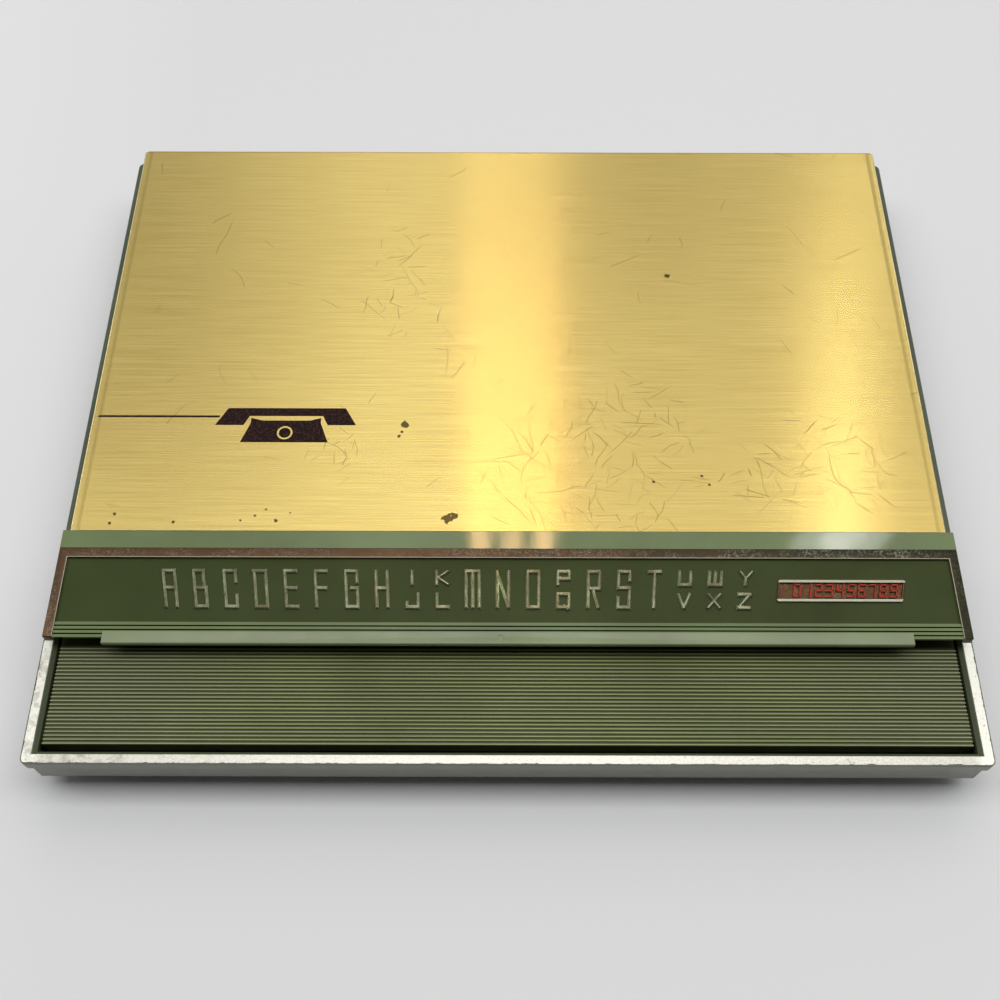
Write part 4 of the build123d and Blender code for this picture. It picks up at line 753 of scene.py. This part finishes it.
for index, strokes in enumerate(strokes_of_numeral):
    numeral_x = first_x + (index + 0.5) * numeral_pitch
    for stroke in strokes:
        dx, dy, upright = stroke_places[stroke]
        long = numeral_height / 2 + numeral_stroke / 2 if upright else numeral_width
        deselect_all()
        bpy.ops.mesh.primitive_cube_add(
            size=1, location=(numeral_x + dx, middle_y + dy, well_floor + numeral_rise / 2 - 0.02 * MM))
        bar = bpy.context.object
        bar.dimensions = ((numeral_stroke, long) if upright else (long, numeral_stroke)) + (numeral_rise,)
        bpy.ops.object.transform_apply(location=True, rotation=True, scale=True)
        edit_faces(bar, lambda centre, normal: normal.z > 0.9)
        bpy.ops.mesh.inset(thickness=0.09 * MM, depth=0.09 * MM)
        bpy.ops.object.mode_set(mode="OBJECT")
        bars.append(bar)
deselect_all()
for bar in bars:
    bar.select_set(True)
bpy.context.view_layer.objects.active = bars[0]
bpy.ops.object.join()
numerals = bpy.context.object
numerals.name = numerals.data.name = "red_numerals"
fan_radius = 420 * MM
for point in numerals.data.vertices:
    point.co.x *= 1 + (point.co.y - middle_y) / fan_radius
place_piece(numerals, "lid", "tarnished_chrome", red_paint)

# %% [markdown]
# ## Return springs
#
# Two coil springs under the touch bar push it back up. They shorten when the bar is pressed, and a body
# that only turns can't show that. Here each coil is a copy of its CAD node with a mesh of its own, set on
# the base body.

# %% Coil copies
for side in ("left", "right"):
    coil = copy_of_node(f"bar_spring_{side}", f"return_coil_{side}")
    bpy.ops.object.shade_smooth_by_angle(angle=math.radians(40))
    place_piece(coil, "base", "spring_steel", spring_steel, f"bar_spring_{side}")
    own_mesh(coil)

# %% [markdown]
# ## Printed telephone figure
#
# A small telephone is printed on the brass in dark ink, with a line running from it to the left edge. The
# figure here is a plain one: a handset with slanted ends over a body with a round dial. Each part is a
# flat plane, shaped by moving its edges, and given the thickness of a film of ink.

# %% Printed figure
brass_top = brass_high.z
ink = Finish("printing_ink", (0.024, 0.010, 0.010), 0.55)
ink.set("Base Color", ink.mix(ink.between(ink.noise(1400, 4), 0.45, 0.75), (0.016, 0.007, 0.008),
                              (0.075, 0.035, 0.020)))
ink.set("Specular IOR Level", 0.08)
ink.bump(ink.noise(2500, 2), 0.006 * MM, 0.4)


def ink_plane(name, x_low, x_high, y_low, y_high):
    """A flat rectangle lying just on the brass, between these sides in millimetres."""
    deselect_all()
    bpy.ops.mesh.primitive_plane_add(size=1, location=(
        (x_low + x_high) / 2 * MM, (y_low + y_high) / 2 * MM, brass_top))
    plane = bpy.context.object
    plane.name = plane.data.name = name
    plane.dimensions = ((x_high - x_low) * MM, (y_high - y_low) * MM, 0)
    bpy.ops.object.transform_apply(location=True, rotation=True, scale=True)
    return plane


def move_points(piece, wanted, offset):
    """Move the points for which wanted(place in millimetres) is true."""
    bpy.ops.object.mode_set(mode="EDIT")
    bpy.ops.mesh.select_mode(type="VERT")
    bpy.ops.mesh.select_all(action="DESELECT")
    bpy.ops.object.mode_set(mode="OBJECT")
    for point in piece.data.vertices:
        point.select = wanted(point.co / MM)
    bpy.ops.object.mode_set(mode="EDIT")
    bpy.ops.transform.translate(value=Vector(offset) * MM)
    bpy.ops.object.mode_set(mode="OBJECT")


def cut_at(piece, places, along_x=True):
    """Divide the piece at these places in millimetres."""
    for place in places:
        edit_faces(piece, lambda centre, normal: True)
        bpy.ops.mesh.bisect(plane_co=(place * MM, place * MM, 0),
                            plane_no=(1, 0, 0) if along_x else (0, 1, 0))
        bpy.ops.object.mode_set(mode="OBJECT")


handset = ink_plane("handset", -87.0, -45.2, -1.7, 1.1)
cut_at(handset, (-78.6, -77.0, -55.2, -53.6))
move_points(handset, lambda p: p.y < 0 and (p.x < -78 or p.x > -54), (0, -3.2, 0))
move_points(handset, lambda p: p.y > 0 and p.x < -86, (3.4, 0, 0))
move_points(handset, lambda p: p.y > 0 and p.x > -46, (-3.4, 0, 0))

body = ink_plane("telephone_body", -79.0, -53.2, -10.9, -2.4)
cut_at(body, (-76.4, -73.2, -59.0, -55.8))
cut_at(body, (-4.2,), along_x=False)
move_points(body, lambda p: p.y > -4.0 and -74 < p.x < -58.5, (0, -0.9, 0))
move_points(body, lambda p: p.y > -5.2 and p.x < -78, (2.5, 0, 0))
move_points(body, lambda p: p.y > -5.2 and p.x > -54, (-2.5, 0, 0))
cord_line = ink_plane("cord_line", -122.0, -86.0, -2.25, -1.55)

deselect_all()
for part in (handset, body, cord_line):
    part.select_set(True)
bpy.context.view_layer.objects.active = handset
bpy.ops.object.join()
figure = bpy.context.object
figure.name = figure.data.name = "printed_telephone"
film = figure.modifiers.new("film of ink", "SOLIDIFY")
film.thickness = 0.015 * MM
film.offset = 1
bpy.ops.object.modifier_apply(modifier=film.name)
place_piece(figure, "lid", "brushed_brass", ink)

# %% [markdown]
# The dial is a ring of bare brass in the print. A torus would stand proud, so a flat ring is made from a
# circle whose edge is extruded inwards, a little higher than the ink.

# %% Dial ring
dial_place = (-66.1 * MM, -7.6 * MM, brass_top + 0.020 * MM)
deselect_all()
bpy.ops.mesh.primitive_circle_add(vertices=48, radius=2.3 * MM, location=dial_place, fill_type="NGON")
dial = bpy.context.object
dial.name = dial.data.name = "dial_ring"
edit_faces(dial, lambda centre, normal: True)
bpy.ops.mesh.inset(thickness=0.55 * MM)
bpy.ops.mesh.delete(type="FACE")
bpy.ops.object.mode_set(mode="OBJECT")
rise = dial.modifiers.new("thickness", "SOLIDIFY")
rise.thickness = 0.015 * MM
rise.offset = 0
bpy.ops.object.modifier_apply(modifier=rise.name)
place_piece(dial, "lid", "brushed_brass", brass)

# %% [markdown]
# ## Letters on the tabs
#
# Every leaf has a tab below its own letter on the lid, printed with that letter, so that the stack reads
# like the panel when the lid is open. Blender's text tool writes each one. The text is made a mesh before
# it gets its place, and it rides on the body that carries the leaf.

# %% Tab letters
tab_ink = Finish("tab_ink", (0.030, 0.045, 0.022), 0.6)
tab_ink.set("Base Color", tab_ink.mix(tab_ink.noise(700, 3), (0.020, 0.032, 0.016), (0.05, 0.07, 0.035)))
letter_size, tab_depth = 4.2 * MM, 3.4 * MM
lifted = frame["record"]["behaviour"]["bodies"]["lifted_leaves"]
leaf_names = [entry["node"] for entry in frame["record"]["subparts"] if entry["node"].startswith("leaf_")]
for leaf in leaf_names:
    low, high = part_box(leaf)
    tab_points = [v.co.x for v in nodes[leaf].data.vertices if v.co.y < low.y + 3 * MM]
    tab_x = (min(tab_points) + max(tab_points)) / 2
    words = "0-9" if leaf == "leaf_numbers" else " ".join(leaf.split("_")[1:]).upper()
    deselect_all()
    bpy.ops.object.text_add()
    text = bpy.context.object
    text.data.body = words
    text.data.size = letter_size if len(words) == 1 else letter_size * 0.8
    text.data.align_x = "CENTER"
    text.data.align_y = "CENTER"
    bpy.ops.object.convert(target="MESH")
    text = bpy.context.object
    text.name = text.data.name = "tab_" + "_".join(leaf.split("_")[1:])
    text.location = (tab_x, low.y + tab_depth, high.z + 0.01 * MM)
    place_piece(text, "lifted_leaves" if leaf in lifted else "base", "leaf_card", tab_ink)
